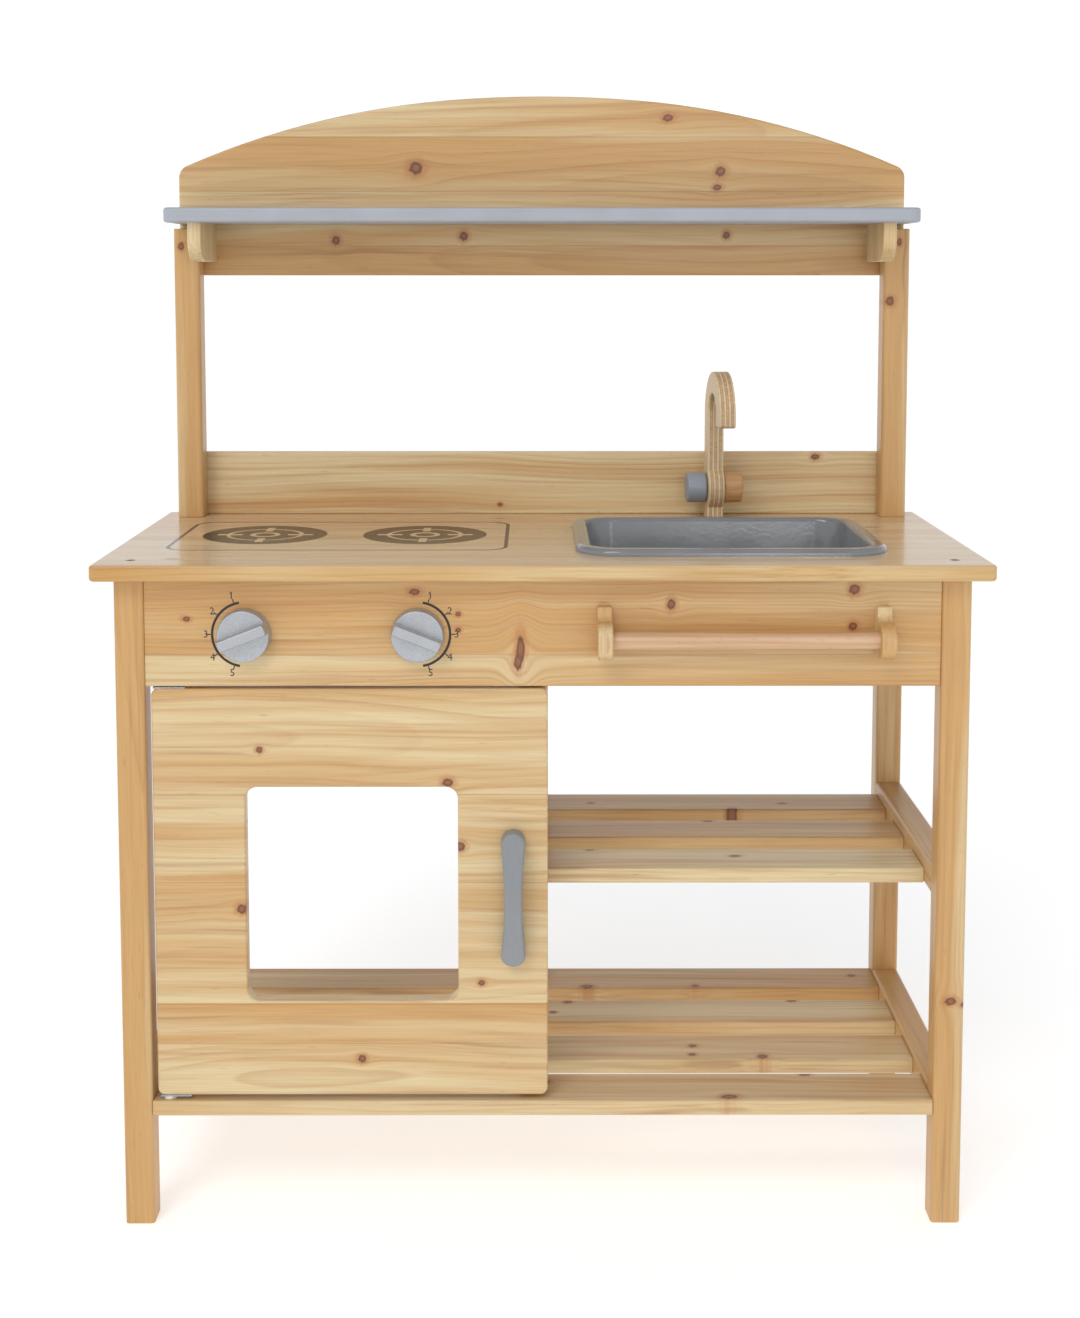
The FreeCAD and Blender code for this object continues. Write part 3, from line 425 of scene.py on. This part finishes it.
def varnished_worktop():
    """Glossy worktop of edge-glued fir with the printed hob."""
    material, g, shader = new_material("fir_worktop")
    knots = [(-300, -118, 3.5, 1.6), (-40, 118, 3.0, 1.5), (30, 60, 3.0, 1.6), (34, -10, 2.6, 1.6),
             (36, -74, 2.8, 1.6), (300, 60, 4.0, 1.8), (211, -163, 5.0, 1.6)]
    staves = [(-122, 0.1), (-17, -0.3), (88, 0.15), (None, 0.5)]
    colour, late, fibre, place = wood_figure(g, "worktop", "XYZ", staves, 2.0, 0.0050, 0.6, 0.0, knots)
    # painted sheen: the top face is mixed towards a paler, pinker colour than the edges, standing in for
    # light on the varnish
    painted_sheen_colour = g.mix(0.38, colour, srgb(230, 202, 172))
    ink = hob_frame(g, place["X"], place["Y"])
    for centre in HOB_DISCS:
        ink = g.math("MAXIMUM", ink, hob_disc(g, place["X"], place["Y"], centre))
    ink = g.mul(ink, g.step(place["Z"], WORKTOP_TOP - 0.002, WORKTOP_TOP - 0.001))
    wear = g.noise(g.vector(g.mul(place["X"], 60.0), g.mul(place["Y"], 420.0), 0.0), 1.0, 3.0, 0.6)
    ink = g.mul(ink, g.step(wear, 0.2, 0.6, 0.93, 0.99))
    # mask of the painted sheen: 1 on the top face only, 0 on the edges
    painted_sheen_mask = g.step(place["Z"], WORKTOP_TOP - 0.0015, WORKTOP_TOP - 0.0004)
    colour = g.mix(painted_sheen_mask, colour, painted_sheen_colour)
    g.put(shader.inputs["Base Color"], g.mix(ink, colour, INK))
    lacquer(g, shader, late, fibre, 0.20, 0.28, 0.00006)
    shader.inputs["Specular IOR Level"].default_value = 0.1
    shader.inputs["Coat Weight"].default_value = 0.24
    shader.inputs["Coat Roughness"].default_value = 0.07
    paint("worktop", material)


# ---- other materials ----
def beech(name, nodes, axis, seed, pale, deep):
    """Turned beech: even, with short dark flecks along the grain."""
    material, g, shader = new_material(name)
    place = g.place()
    others = [letter for letter in "XYZ" if letter != axis]
    along = place[axis]
    u, v = (place[letter] for letter in others)
    streak_place = g.vector(g.mul(along, 6.0), g.mul(u, 260.0), g.add(g.mul(v, 260.0), seed))
    streak = g.noise(streak_place, 1.0, 3.0, 0.55)
    fleck = g.noise(g.vector(g.mul(along, 130.0), g.mul(u, 900.0), g.mul(v, 900.0)), 1.0, 1.0)
    colour = g.mix(g.step(streak, 0.3, 0.7), pale, deep)
    colour = g.mix(g.step(fleck, 0.66, 0.78, 0.0, 0.5), colour, srgb(150, 102, 70))
    g.put(shader.inputs["Base Color"], colour)
    g.put(shader.inputs["Roughness"], g.step(streak, 0.2, 0.8, 0.38, 0.50))
    g.put(shader.inputs["Normal"], g.bump(g.add(streak, g.mul(fleck, -0.6)), 0.00008))
    for node in nodes:
        paint(node, material)


PLY_FACE = 7.5 * MM                     # from the tap's middle plane to its outer veneer
PLY_SHEET = 2.15 * MM                   # thickness of one ply
PLY_OFFSET = 101.5                      # keeps the count of plies above 0 and starts it in mid-ply


def tap_layer(g, place):
    """Distance from the tap's middle plane, which is turned a little about the upright."""
    dx = g.mul(g.sub(place["X"], TAP_CENTRE.x), math.cos(TAP_TURN))
    dy = g.mul(g.sub(place["Y"], TAP_CENTRE.y), math.sin(TAP_TURN))
    return g.add(dx, dy)


def tap_plywood():
    """Birch plywood: plies stacked about the tap's middle plane, crossed in turn, with dark glue lines."""
    material, g, shader = new_material("birch_plywood")
    place = g.place()
    layer = tap_layer(g, place)
    turn = g.add(g.math("DIVIDE", layer, PLY_SHEET), PLY_OFFSET)
    count = g.math("FLOOR", turn)
    crossed = g.math("MODULO", count, 2.0)
    along_grain = g.vector(g.mul(place["Z"], 9.0), g.mul(place["Y"], 420.0), g.add(count, 3.0))
    across_grain = g.vector(g.mul(place["Z"], 420.0), g.mul(place["Y"], 300.0), g.add(count, 3.0))
    fine = g.noise(along_grain, 1.0, 3.0, 0.55)
    coarse = g.noise(across_grain, 1.0, 2.0, 0.6)
    face = g.mix(g.step(fine, 0.3, 0.7), srgb(218, 196, 160), srgb(204, 176, 136))
    end = g.mix(g.step(coarse, 0.3, 0.7), srgb(200, 170, 130), srgb(178, 144, 104))
    colour = g.mix(crossed, face, end)
    edge = g.math("ABSOLUTE", g.sub(g.math("FRACT", turn), 0.5))
    between = g.step(g.math("ABSOLUTE", layer), PLY_FACE - 1.0 * MM, PLY_FACE - 0.6 * MM, 1.0, 0.0)
    glue = g.mul(g.step(edge, 0.38, 0.47), between)
    colour = g.mix(g.mul(glue, 0.75), colour, srgb(112, 74, 46))
    g.put(shader.inputs["Base Color"], colour)
    g.put(shader.inputs["Roughness"], g.step(coarse, 0.2, 0.8, 0.42, 0.56))
    g.put(shader.inputs["Normal"], g.bump(g.sub(fine, g.mul(glue, 0.8)), 0.00010))
    paint("tap_spout", material)


def grey_paint(name, nodes, colour, grain):
    """Satin paint on wood: roller texture, grain that shows through, and slight tone changes."""
    material, g, shader = new_material(name)
    place = g.place()
    vector = g.vector(place["X"], place["Y"], place["Z"])
    scale = {letter: (14.0 if letter == grain else 520.0) for letter in "XYZ"}
    telegraph = g.noise(g.vector(*(g.mul(place[letter], scale[letter]) for letter in "XYZ")), 1.0, 2.0, 0.5)
    roller = g.noise(vector, 900.0, 2.0, 0.5)
    cloud = g.noise(vector, 18.0, 3.0, 0.55)
    dark = tuple(channel * 0.90 for channel in colour[:3]) + (1.0,)
    light = tuple(min(1.0, channel * 1.07) for channel in colour[:3]) + (1.0,)
    tone = g.add(g.step(cloud, 0.3, 0.7, 0.2, 0.7), g.step(telegraph, 0.3, 0.7, -0.12, 0.12))
    g.put(shader.inputs["Base Color"], g.mix(tone, dark, light))
    g.put(shader.inputs["Roughness"], g.step(roller, 0.25, 0.75, 0.34, 0.46))
    g.put(shader.inputs["Normal"], g.bump(g.add(g.mul(roller, 0.6), g.mul(telegraph, 0.5)), 0.00010))
    for node in nodes:
        paint(node, material)


def basin_grey():
    """Glossy grey sink: faint orange peel, small tone clouds and fine scratches on its floor."""
    material, g, shader = new_material("basin_grey")
    place = g.place()
    vector = g.vector(place["X"], place["Y"], place["Z"])
    cloud = g.noise(vector, 22.0, 3.0, 0.5)
    peel = g.noise(vector, 260.0, 1.0)
    scratch_place = g.vector(g.mul(place["X"], 40.0), g.mul(place["Y"], 900.0), g.mul(place["Z"], 60.0))
    scratch = g.noise(scratch_place, 1.0, 2.0, 0.6, 0.6)
    colour = g.mix(g.step(cloud, 0.3, 0.7), srgb(124, 127, 130), srgb(132, 135, 138))
    g.put(shader.inputs["Base Color"], colour)
    rough = g.add(g.step(cloud, 0.3, 0.7, 0.13, 0.19), g.step(scratch, 0.60, 0.75, 0.0, 0.08))
    g.put(shader.inputs["Roughness"], rough)
    g.put(shader.inputs["Normal"], g.bump(peel, 0.00006))
    shader.inputs["Coat Weight"].default_value = 0.35
    shader.inputs["Coat Roughness"].default_value = 0.08
    paint("sink_basin", material)


def silver_plastic():
    """Satin silver knobs: metal flakes under lacquer and a fine moulded grain."""
    material, g, shader = new_material("silver_plastic")
    place = g.place()
    vector = g.vector(place["X"], place["Y"], place["Z"])
    flake = g.noise(vector, 2600.0, 1.0)
    cloud = g.noise(vector, 60.0, 2.0)
    mould = g.noise(vector, 1300.0, 2.0, 0.6)
    colour = g.mix(g.step(flake, 0.3, 0.7), srgb(160, 163, 168), srgb(190, 193, 197))
    g.put(shader.inputs["Base Color"], g.mix(g.step(cloud, 0.3, 0.7, 0.0, 0.12), colour, srgb(138, 141, 147)))
    g.put(shader.inputs["Roughness"], g.step(mould, 0.25, 0.75, 0.30, 0.40))
    g.put(shader.inputs["Normal"], g.bump(mould, 0.00005))
    shader.inputs["Metallic"].default_value = 0.55
    for name in ("left", "right"):
        paint("knob_" + name, material)


def white_plastic():
    """Plain moulded plastic of the bushes and the catch."""
    material, g, shader = new_material("white_plastic")
    place = g.place()
    vector = g.vector(place["X"], place["Y"], place["Z"])
    mould = g.noise(vector, 900.0, 2.0, 0.6)
    cloud = g.noise(vector, 90.0, 2.0)
    colour = g.mix(g.step(cloud, 0.3, 0.7), srgb(222, 221, 216), srgb(232, 231, 228))
    g.put(shader.inputs["Base Color"], colour)
    g.put(shader.inputs["Roughness"], g.step(mould, 0.25, 0.75, 0.42, 0.54))
    g.put(shader.inputs["Normal"], g.bump(mould, 0.00006))
    for node in ("hinge_bushes", "magnet_catch"):
        paint(node, material)


def zinc_steel():
    """Bright zinc on steel screws, bolts and plates: crystalline tone and fine brushing."""
    material, g, shader = new_material("zinc_steel")
    place = g.place()
    vector = g.vector(place["X"], place["Y"], place["Z"])
    crystal = g.node("ShaderNodeTexVoronoi")
    g.put(crystal.inputs["Vector"], vector)
    crystal.inputs["Scale"].default_value = 420.0
    brush_place = g.vector(g.mul(place["X"], 300.0), g.mul(place["Y"], 2400.0), g.mul(place["Z"], 2400.0))
    brushed = g.noise(brush_place, 1.0)
    tone = g.step(crystal.outputs["Distance"], 0.1, 0.7)
    g.put(shader.inputs["Base Color"], g.mix(tone, srgb(186, 187, 188), srgb(158, 160, 163)))
    g.put(shader.inputs["Roughness"], g.step(brushed, 0.3, 0.7, 0.26, 0.40))
    g.put(shader.inputs["Normal"], g.bump(brushed, 0.00004))
    shader.inputs["Metallic"].default_value = 0.95
    for node in ("cross_bolts", "barrel_nuts", "post_bolts", "slat_screws", "divider_screws",
                 "back_board_screws", "towel_bracket_screws", "catch_screws", "door_handle_screws",
                 "hinge_leaves", "hinge_leaf_screws", "strike_plate", "knob_screw_left", "knob_screw_right",
                 "tap_bolt"):
        paint(node, material)


def brown_lacquered_steel():
    """The two screws in the worktop have wood-brown heads, with a cloudy darker tone."""
    material, g, shader = new_material("brown_lacquered_steel")
    place = g.place()
    vector = g.vector(place["X"], place["Y"], place["Z"])
    cloud = g.noise(vector, 500.0, 3.0, 0.6)
    g.put(shader.inputs["Base Color"], g.mix(g.step(cloud, 0.3, 0.75), srgb(150, 104, 66), srgb(112, 74, 46)))
    g.put(shader.inputs["Roughness"], g.step(cloud, 0.3, 0.7, 0.35, 0.5))
    g.put(shader.inputs["Normal"], g.bump(cloud, 0.00005))
    paint("worktop_screws", material)


def print_black():
    """Matt printing ink of the dials, slightly uneven."""
    material, g, shader = new_material("print_black")
    place = g.place()
    vector = g.vector(place["X"], place["Y"], place["Z"])
    speckle = g.noise(vector, 1500.0, 2.0, 0.6)
    g.put(shader.inputs["Base Color"], g.mix(g.step(speckle, 0.3, 0.8), PRINT_BLACK, srgb(52, 48, 45)))
    g.put(shader.inputs["Roughness"], g.step(speckle, 0.3, 0.7, 0.42, 0.55))
    return material


# ---- the dials printed on the apron ----
DIAL_RADIUS = 26.0 * MM
DIAL_STROKE = 2.0 * MM
DIAL_TICK = 3.0 * MM
DIAL_TICK_GAP = 0.2 * MM
DIAL_TICK_WIDTH = 0.9 * MM
DIAL_STEPS = 48                         # straight pieces of one arc
DIGIT_HEIGHT = 5.8 * MM
DIGIT_RADIUS = 33.2 * MM
DIGIT_PULL = 2.0 * MM                   # how much nearer the digit beside the knob is
CAP_SHARE = 0.69                        # height of a digit over the size of its font
FLAG = (215.0, 1.7 * MM, 0.6 * MM)      # angle, length and width of the stroke on the digit 1
FLAG_DROP = 0.3 * MM
PRINT_THICK = 0.10 * MM
DIAL_ANGLES = [108.0, 144.0, 180.0, 216.0, 252.0]      # of the digits 1 to 5 round the left knob
DIAL_ENDS = (99.0, 261.0)


def plate(mesh, outline, back, front):
    """A thin closed plate: an outline in X and Z between two Y levels."""
    rear = [mesh.verts.new((x, back, z)) for x, z in outline]
    fore = [mesh.verts.new((x, front, z)) for x, z in outline]
    count = len(outline)
    mesh.faces.new(rear)
    mesh.faces.new(fore[::-1])
    for i in range(count):
        j = (i + 1) % count
        mesh.faces.new((rear[j], rear[i], fore[i], fore[j]))


def band(centre, radius, stroke, start, end, steps):
    """Outline of a stretch of a ring."""
    points = []
    for edge, order in ((radius + stroke / 2, range(steps + 1)), (radius - stroke / 2, range(steps, -1, -1))):
        for i in order:
            angle = math.radians(start + (end - start) * i / steps)
            points.append((centre.x + edge * math.cos(angle), centre.z + edge * math.sin(angle)))
    return points


def spoke(centre, angle, start, end, width):
    """Outline of a short radial bar."""
    out = Vector((math.cos(math.radians(angle)), math.sin(math.radians(angle))))
    aside = Vector((-out.y, out.x)) * width / 2
    hub = Vector((centre.x, centre.z))
    near = hub + out * start
    far = hub + out * end
    corners = [near + aside, near - aside, far - aside, far + aside]
    return [tuple(corner) for corner in corners]


def digit_mesh(text, x, z, y):
    """A printed digit, standing upright and centred on a point of the apron's face."""
    curve = bpy.data.curves.new("digit", "FONT")
    curve.body = text
    curve.size = DIGIT_HEIGHT / CAP_SHARE
    curve.align_x = "CENTER"
    curve.align_y = "CENTER"
    curve.extrude = PRINT_THICK / 2
    curve.resolution_u = 4
    carrier = bpy.data.objects.new("digit", curve)
    data = bpy.data.meshes.new_from_object(carrier)
    data.transform(Matrix.Translation((x, y, z)) @ Matrix.Rotation(math.pi / 2, 4, "X"))
    bpy.data.objects.remove(carrier)
    bpy.data.curves.remove(curve)
    return data


def make_dial(side, material):
    centre = KNOB_CENTRES[side]
    mirrored = side == "right"
    back = APRON_FRONT + PRINT_THICK * 0.4
    front = APRON_FRONT - PRINT_THICK * 0.6
    mesh = bmesh.new()
    ends = tuple(180.0 - end for end in DIAL_ENDS)[::-1] if mirrored else DIAL_ENDS
    plate(mesh, band(centre, DIAL_RADIUS, DIAL_STROKE, *ends, DIAL_STEPS), back, front)
    for digit, angle in enumerate(DIAL_ANGLES, 1):
        angle = 180.0 - angle if mirrored else angle
        start = DIAL_RADIUS + DIAL_STROKE / 2 + DIAL_TICK_GAP
        plate(mesh, spoke(centre, angle, start, start + DIAL_TICK, DIAL_TICK_WIDTH), back, front)
        out = Vector((math.cos(math.radians(angle)), math.sin(math.radians(angle))))
        reach = DIGIT_RADIUS - DIGIT_PULL * out.x ** 2
        x = centre.x + reach * out.x
        z = centre.z + reach * out.y
        if digit == 1:
            flag = Vector((x, 0, z + DIGIT_HEIGHT / 2 - FLAG_DROP))
            flag_angle, flag_length, flag_width = FLAG
            plate(mesh, spoke(flag, flag_angle, 0.0, flag_length, flag_width), back, front)
        data = digit_mesh(str(digit), x, z, (back + front) / 2)
        mesh.from_mesh(data)
        bpy.data.meshes.remove(data)
    bmesh.ops.recalc_face_normals(mesh, faces=mesh.faces)
    data = bpy.data.meshes.new("dial_" + side)
    mesh.to_mesh(data)
    mesh.free()
    data.materials.append(material)
    dial = bpy.data.objects.new("dial_" + side, data)
    bpy.context.scene.collection.objects.link(dial)
    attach(dial, "cabinet")


# ---- all the wood of the frame ----
def dress_wood():
    fir("arch_board", "XZY", 11.0, 0.10, [(807, 0.6), (858, 0.15), (909, 0.65), (None, 0.05)], 0.0055, 0.8,
        [(-119, 880, 6.0, 1.1), (169, 877, 5.0, 1.0), (166, 862, 3.0, 1.4), (119, 927, 3.5, 1.5),
         (-195, 812, 4.0, 1.0), (-74, 816, 4.2, 1.0), (175, 817, 3.6, 1.0)])
    fir("splashback", "XZY", 12.0, -0.15, None, 0.0040, 0.9, [(262, 606, 3.0, 1.4), (-40, 560, 1.8, 1.4)])
    fir("front_apron", "XZY", 13.0, 0.05, [(475.7, 0.1), (None, 0.6)], 0.0036, 0.9,
        [(-18, 480, 12.0, 0.30), (-20, 470, 7.0, 0.5), (103, 517, 4.4, 0.8), (250, 529, 4.6, 1.0),
         (249, 499, 3.6, 1.0), (-68, 509, 2.0, 1.2), (-68, 496, 2.0, 1.2), (-286, 505, 2.0, 1.6),
         (-103, 527, 2.6, 1.8)])
    fir("door_panel", "XZY", 14.0, 0.0,
        [(153, 0.1), (186, 0.35), (288, 0.0), (361, 0.2), (None, -0.05)], 0.0046, 0.8,
        [(-229, 398, 2.6, 1.1), (-148, 140, 3.2, 1.1), (-245, 266, 3.8, 1.1), (-67, 318, 3.8, 1.1),
         (-77, 371, 3.4, 1.4), (-50, 204, 2.4, 1.2)])
    varnished_worktop()
    legs = {
        "front_leg_left": (21.0, 0.55, []),
        "front_leg_right": (22.0, 0.45, [(189, 333, 5.0, 0.7), (186, 345, 4.0, 0.6)]),
        "rear_leg_left": (23.0, 0.65, []),
        "rear_leg_right": (24.0, 0.62, []),
        "upper_post_left": (25.0, 0.55, [(806, -337, 3.0, 1.2)]),
        "upper_post_right": (26.0, 0.50, [(755, 326, 4.2, 1.0), (810, 334, 2.4, 1.4)]),
        "divider_post_front": (27.0, 0.50, []),
        "divider_post_rear": (28.0, 0.50, []),
    }
    for node, (seed, tone, knots) in legs.items():
        fir(node, "ZXY", seed, tone, None, 0.0034, 0.7, knots)
    for i, node in enumerate(("top_side_rail_left", "top_side_rail_right", "bottom_side_rail_left",
                              "bottom_side_rail_right", "mid_side_rail", "divider_rail")):
        fir(node, "YZX", 31.0 + i, 0.5, None, 0.0036, 0.8)
    fir("rear_rail", "XZY", 38.0, 0.35, None, 0.0040, 0.8, [(-120, 520, 3.0, 1.2), (210, 515, 2.6, 1.2)])
    slats = {
        "bottom_slat_1": (41.0, 0.25, [(222, -89, 2.6, 1.8), (2, -102, 3.4, 1.3), (154, -129, 4.0, 1.8)]),
        "bottom_slat_2": (42.0, -0.05, [(132, -33, 3.0, 1.2), (130, -50, 2.6, 1.3), (191, -54, 4.2, 1.1)]),
        "bottom_slat_3": (43.0, 0.10, [(24, 61, 3.2, 1.4), (10, 38, 2.6, 1.3), (233, 63, 2.6, 1.8)]),
        "bottom_slat_4": (44.0, 0.25, [(43, 97, 4.0, 1.5), (146, 98, 3.0, 1.2), (299, 122, 3.0, 1.2)]),
        "mid_slat_1": (45.0, -0.10, [(41, -40, 2.6, 1.6), (165, -57, 2.6, 1.9)]),
        "mid_slat_2": (46.0, 0.15, [(151, 40, 3.2, 1.4)]),
        "mid_slat_3": (47.0, 0.20, [(46, 95, 2.8, 1.3), (177, 75, 4.4, 1.2), (226, 93, 2.6, 1.6)]),
    }
    for node, (seed, tone, knots) in slats.items():
        fir(node, "XYZ", seed, tone, None, 0.0044, 0.9, knots)
    for i, node in enumerate(("shelf_bracket_left", "shelf_bracket_right")):
        fir(node, "ZYX", 51.0 + i, -0.25, None, 0.0026, 0.55)
    for i, node in enumerate(("towel_bracket_left", "towel_bracket_right")):
        fir(node, "ZYX", 53.0 + i, 0.15, None, 0.0026, 0.55)


def dress_rest():
    beech("beech_rod", ["towel_rod", "frame_dowels"], "X", 1.0, srgb(212, 178, 144), srgb(194, 152, 114))
    beech("beech_tap", ["tap_handle_right", "tap_axle"], "X", 5.0, srgb(204, 160, 110), srgb(182, 136, 86))
    tap_plywood()
    grey_paint("grey_paint_shelf", ["top_shelf"], srgb(164, 168, 176), "X")
    grey_paint("grey_paint_handle", ["door_handle"], srgb(136, 139, 143), "Z")
    grey_paint("grey_paint_tap", ["tap_handle_left"], srgb(144, 151, 160), "X")
    basin_grey()
    silver_plastic()
    white_plastic()
    zinc_steel()
    brown_lacquered_steel()


# ---- floor, light and camera ----
FLOOR_REACH = 30.0
FLOOR_GLOW = 0.51
SKY_AROUND = 1.04
SKY_OVERHEAD = 0.38
SKY_FADE = (0.22, 0.60)                 # height of the view direction over which the sky darkens
KEY_PLACE = (-1.5, -2.3, 2.5)
KEY_AIM = (0, 0, 0.45)
KEY_POWER = 12.0
SUN_TOWARDS = (0.30, 0.85, -1.0)
SUN_STRENGTH = 0.66
SUN_SPREAD = 26.0                       # degrees
WINDOW_PLACE = (0.6, -3.1, 1.15)        # its reflection lies on the back wall of the sink
WINDOW_AIM = (0.2, 0.06, 0.53)
WINDOW_POWER = 5.0
CAMERA_PLACE = (-0.0054, -1.5343, 0.7826)
CAMERA_DIP = 4.853                      # degrees below level
CAMERA_TURN = -0.123                    # degrees
CAMERA_LENS = 48.31
CAMERA_RISE = -0.18


def make_stage():
    data = bpy.data.meshes.new("studio_floor")
    corners = [(x * FLOOR_REACH, y * FLOOR_REACH, 0) for x, y in ((-1, -1), (1, -1), (1, 1), (-1, 1))]
    data.from_pydata(corners, [], [(0, 1, 2, 3)])
    floor = bpy.data.objects.new("studio_floor", data)
    bpy.context.scene.collection.objects.link(floor)
    material, _, shader = new_material("studio_floor")
    shader.inputs["Base Color"].default_value = (0.80, 0.79, 0.78, 1)
    shader.inputs["Roughness"].default_value = 0.8
    shader.inputs["Emission Color"].default_value = (0.96, 0.98, 1.0, 1)
    shader.inputs["Emission Strength"].default_value = FLOOR_GLOW
    data.materials.append(material)


def area_light(name, place, aim, size, power, colour=(1.0, 1.0, 1.0)):
    data = bpy.data.lights.new(name, "AREA")
    data.shape = "RECTANGLE"
    data.size, data.size_y = size
    data.energy = power
    data.color = colour
    light = bpy.data.objects.new(name, data)
    light.location = place
    light.rotation_euler = (Vector(aim) - Vector(place)).to_track_quat("-Z", "Y").to_euler()
    bpy.context.scene.collection.objects.link(light)


def soft_sun(name, towards, strength, angle):
    data = bpy.data.lights.new(name, "SUN")
    data.energy = strength
    data.angle = math.radians(angle)
    light = bpy.data.objects.new(name, data)
    light.rotation_euler = Vector(towards).to_track_quat("-Z", "Y").to_euler()
    bpy.context.scene.collection.objects.link(light)


def make_world():
    """White all round at eye level, darker overhead."""
    world = bpy.data.worlds.new("studio")
    world.use_nodes = True
    g = Graph(world.node_tree)
    direction = g.node("ShaderNodeTexCoord").outputs["Generated"]
    split = g.node("ShaderNodeSeparateXYZ")
    g.put(split.inputs[0], direction)
    shine = g.step(split.outputs[2], *SKY_FADE, SKY_AROUND, SKY_OVERHEAD)
    background = world.node_tree.nodes["Background"]
    g.put(background.inputs["Color"], g.vector(shine, shine, g.mul(shine, 1.01)))
    background.inputs["Strength"].default_value = 1.0
    bpy.context.scene.world = world


def make_light():
    make_world()
    area_light("key", KEY_PLACE, KEY_AIM, (0.9, 0.9), KEY_POWER, (1.0, 0.985, 0.96))
    soft_sun("overhead", SUN_TOWARDS, SUN_STRENGTH, SUN_SPREAD)
    area_light("window", WINDOW_PLACE, WINDOW_AIM, (0.35, 0.35), WINDOW_POWER)
    bpy.context.scene.view_settings.view_transform = "Standard"


def make_camera():
    data = bpy.data.cameras.new("camera")
    data.sensor_width = 36.0
    data.lens = CAMERA_LENS
    data.shift_y = CAMERA_RISE
    camera = bpy.data.objects.new("camera", data)
    camera.location = CAMERA_PLACE
    camera.rotation_euler = (math.radians(90 - CAMERA_DIP), 0, math.radians(CAMERA_TURN))
    bpy.context.scene.collection.objects.link(camera)
    bpy.context.scene.camera = camera


dress_wood()
dress_rest()
ink = print_black()
for side in ("left", "right"):
    make_dial(side, ink)
make_stage()
make_light()
make_camera()
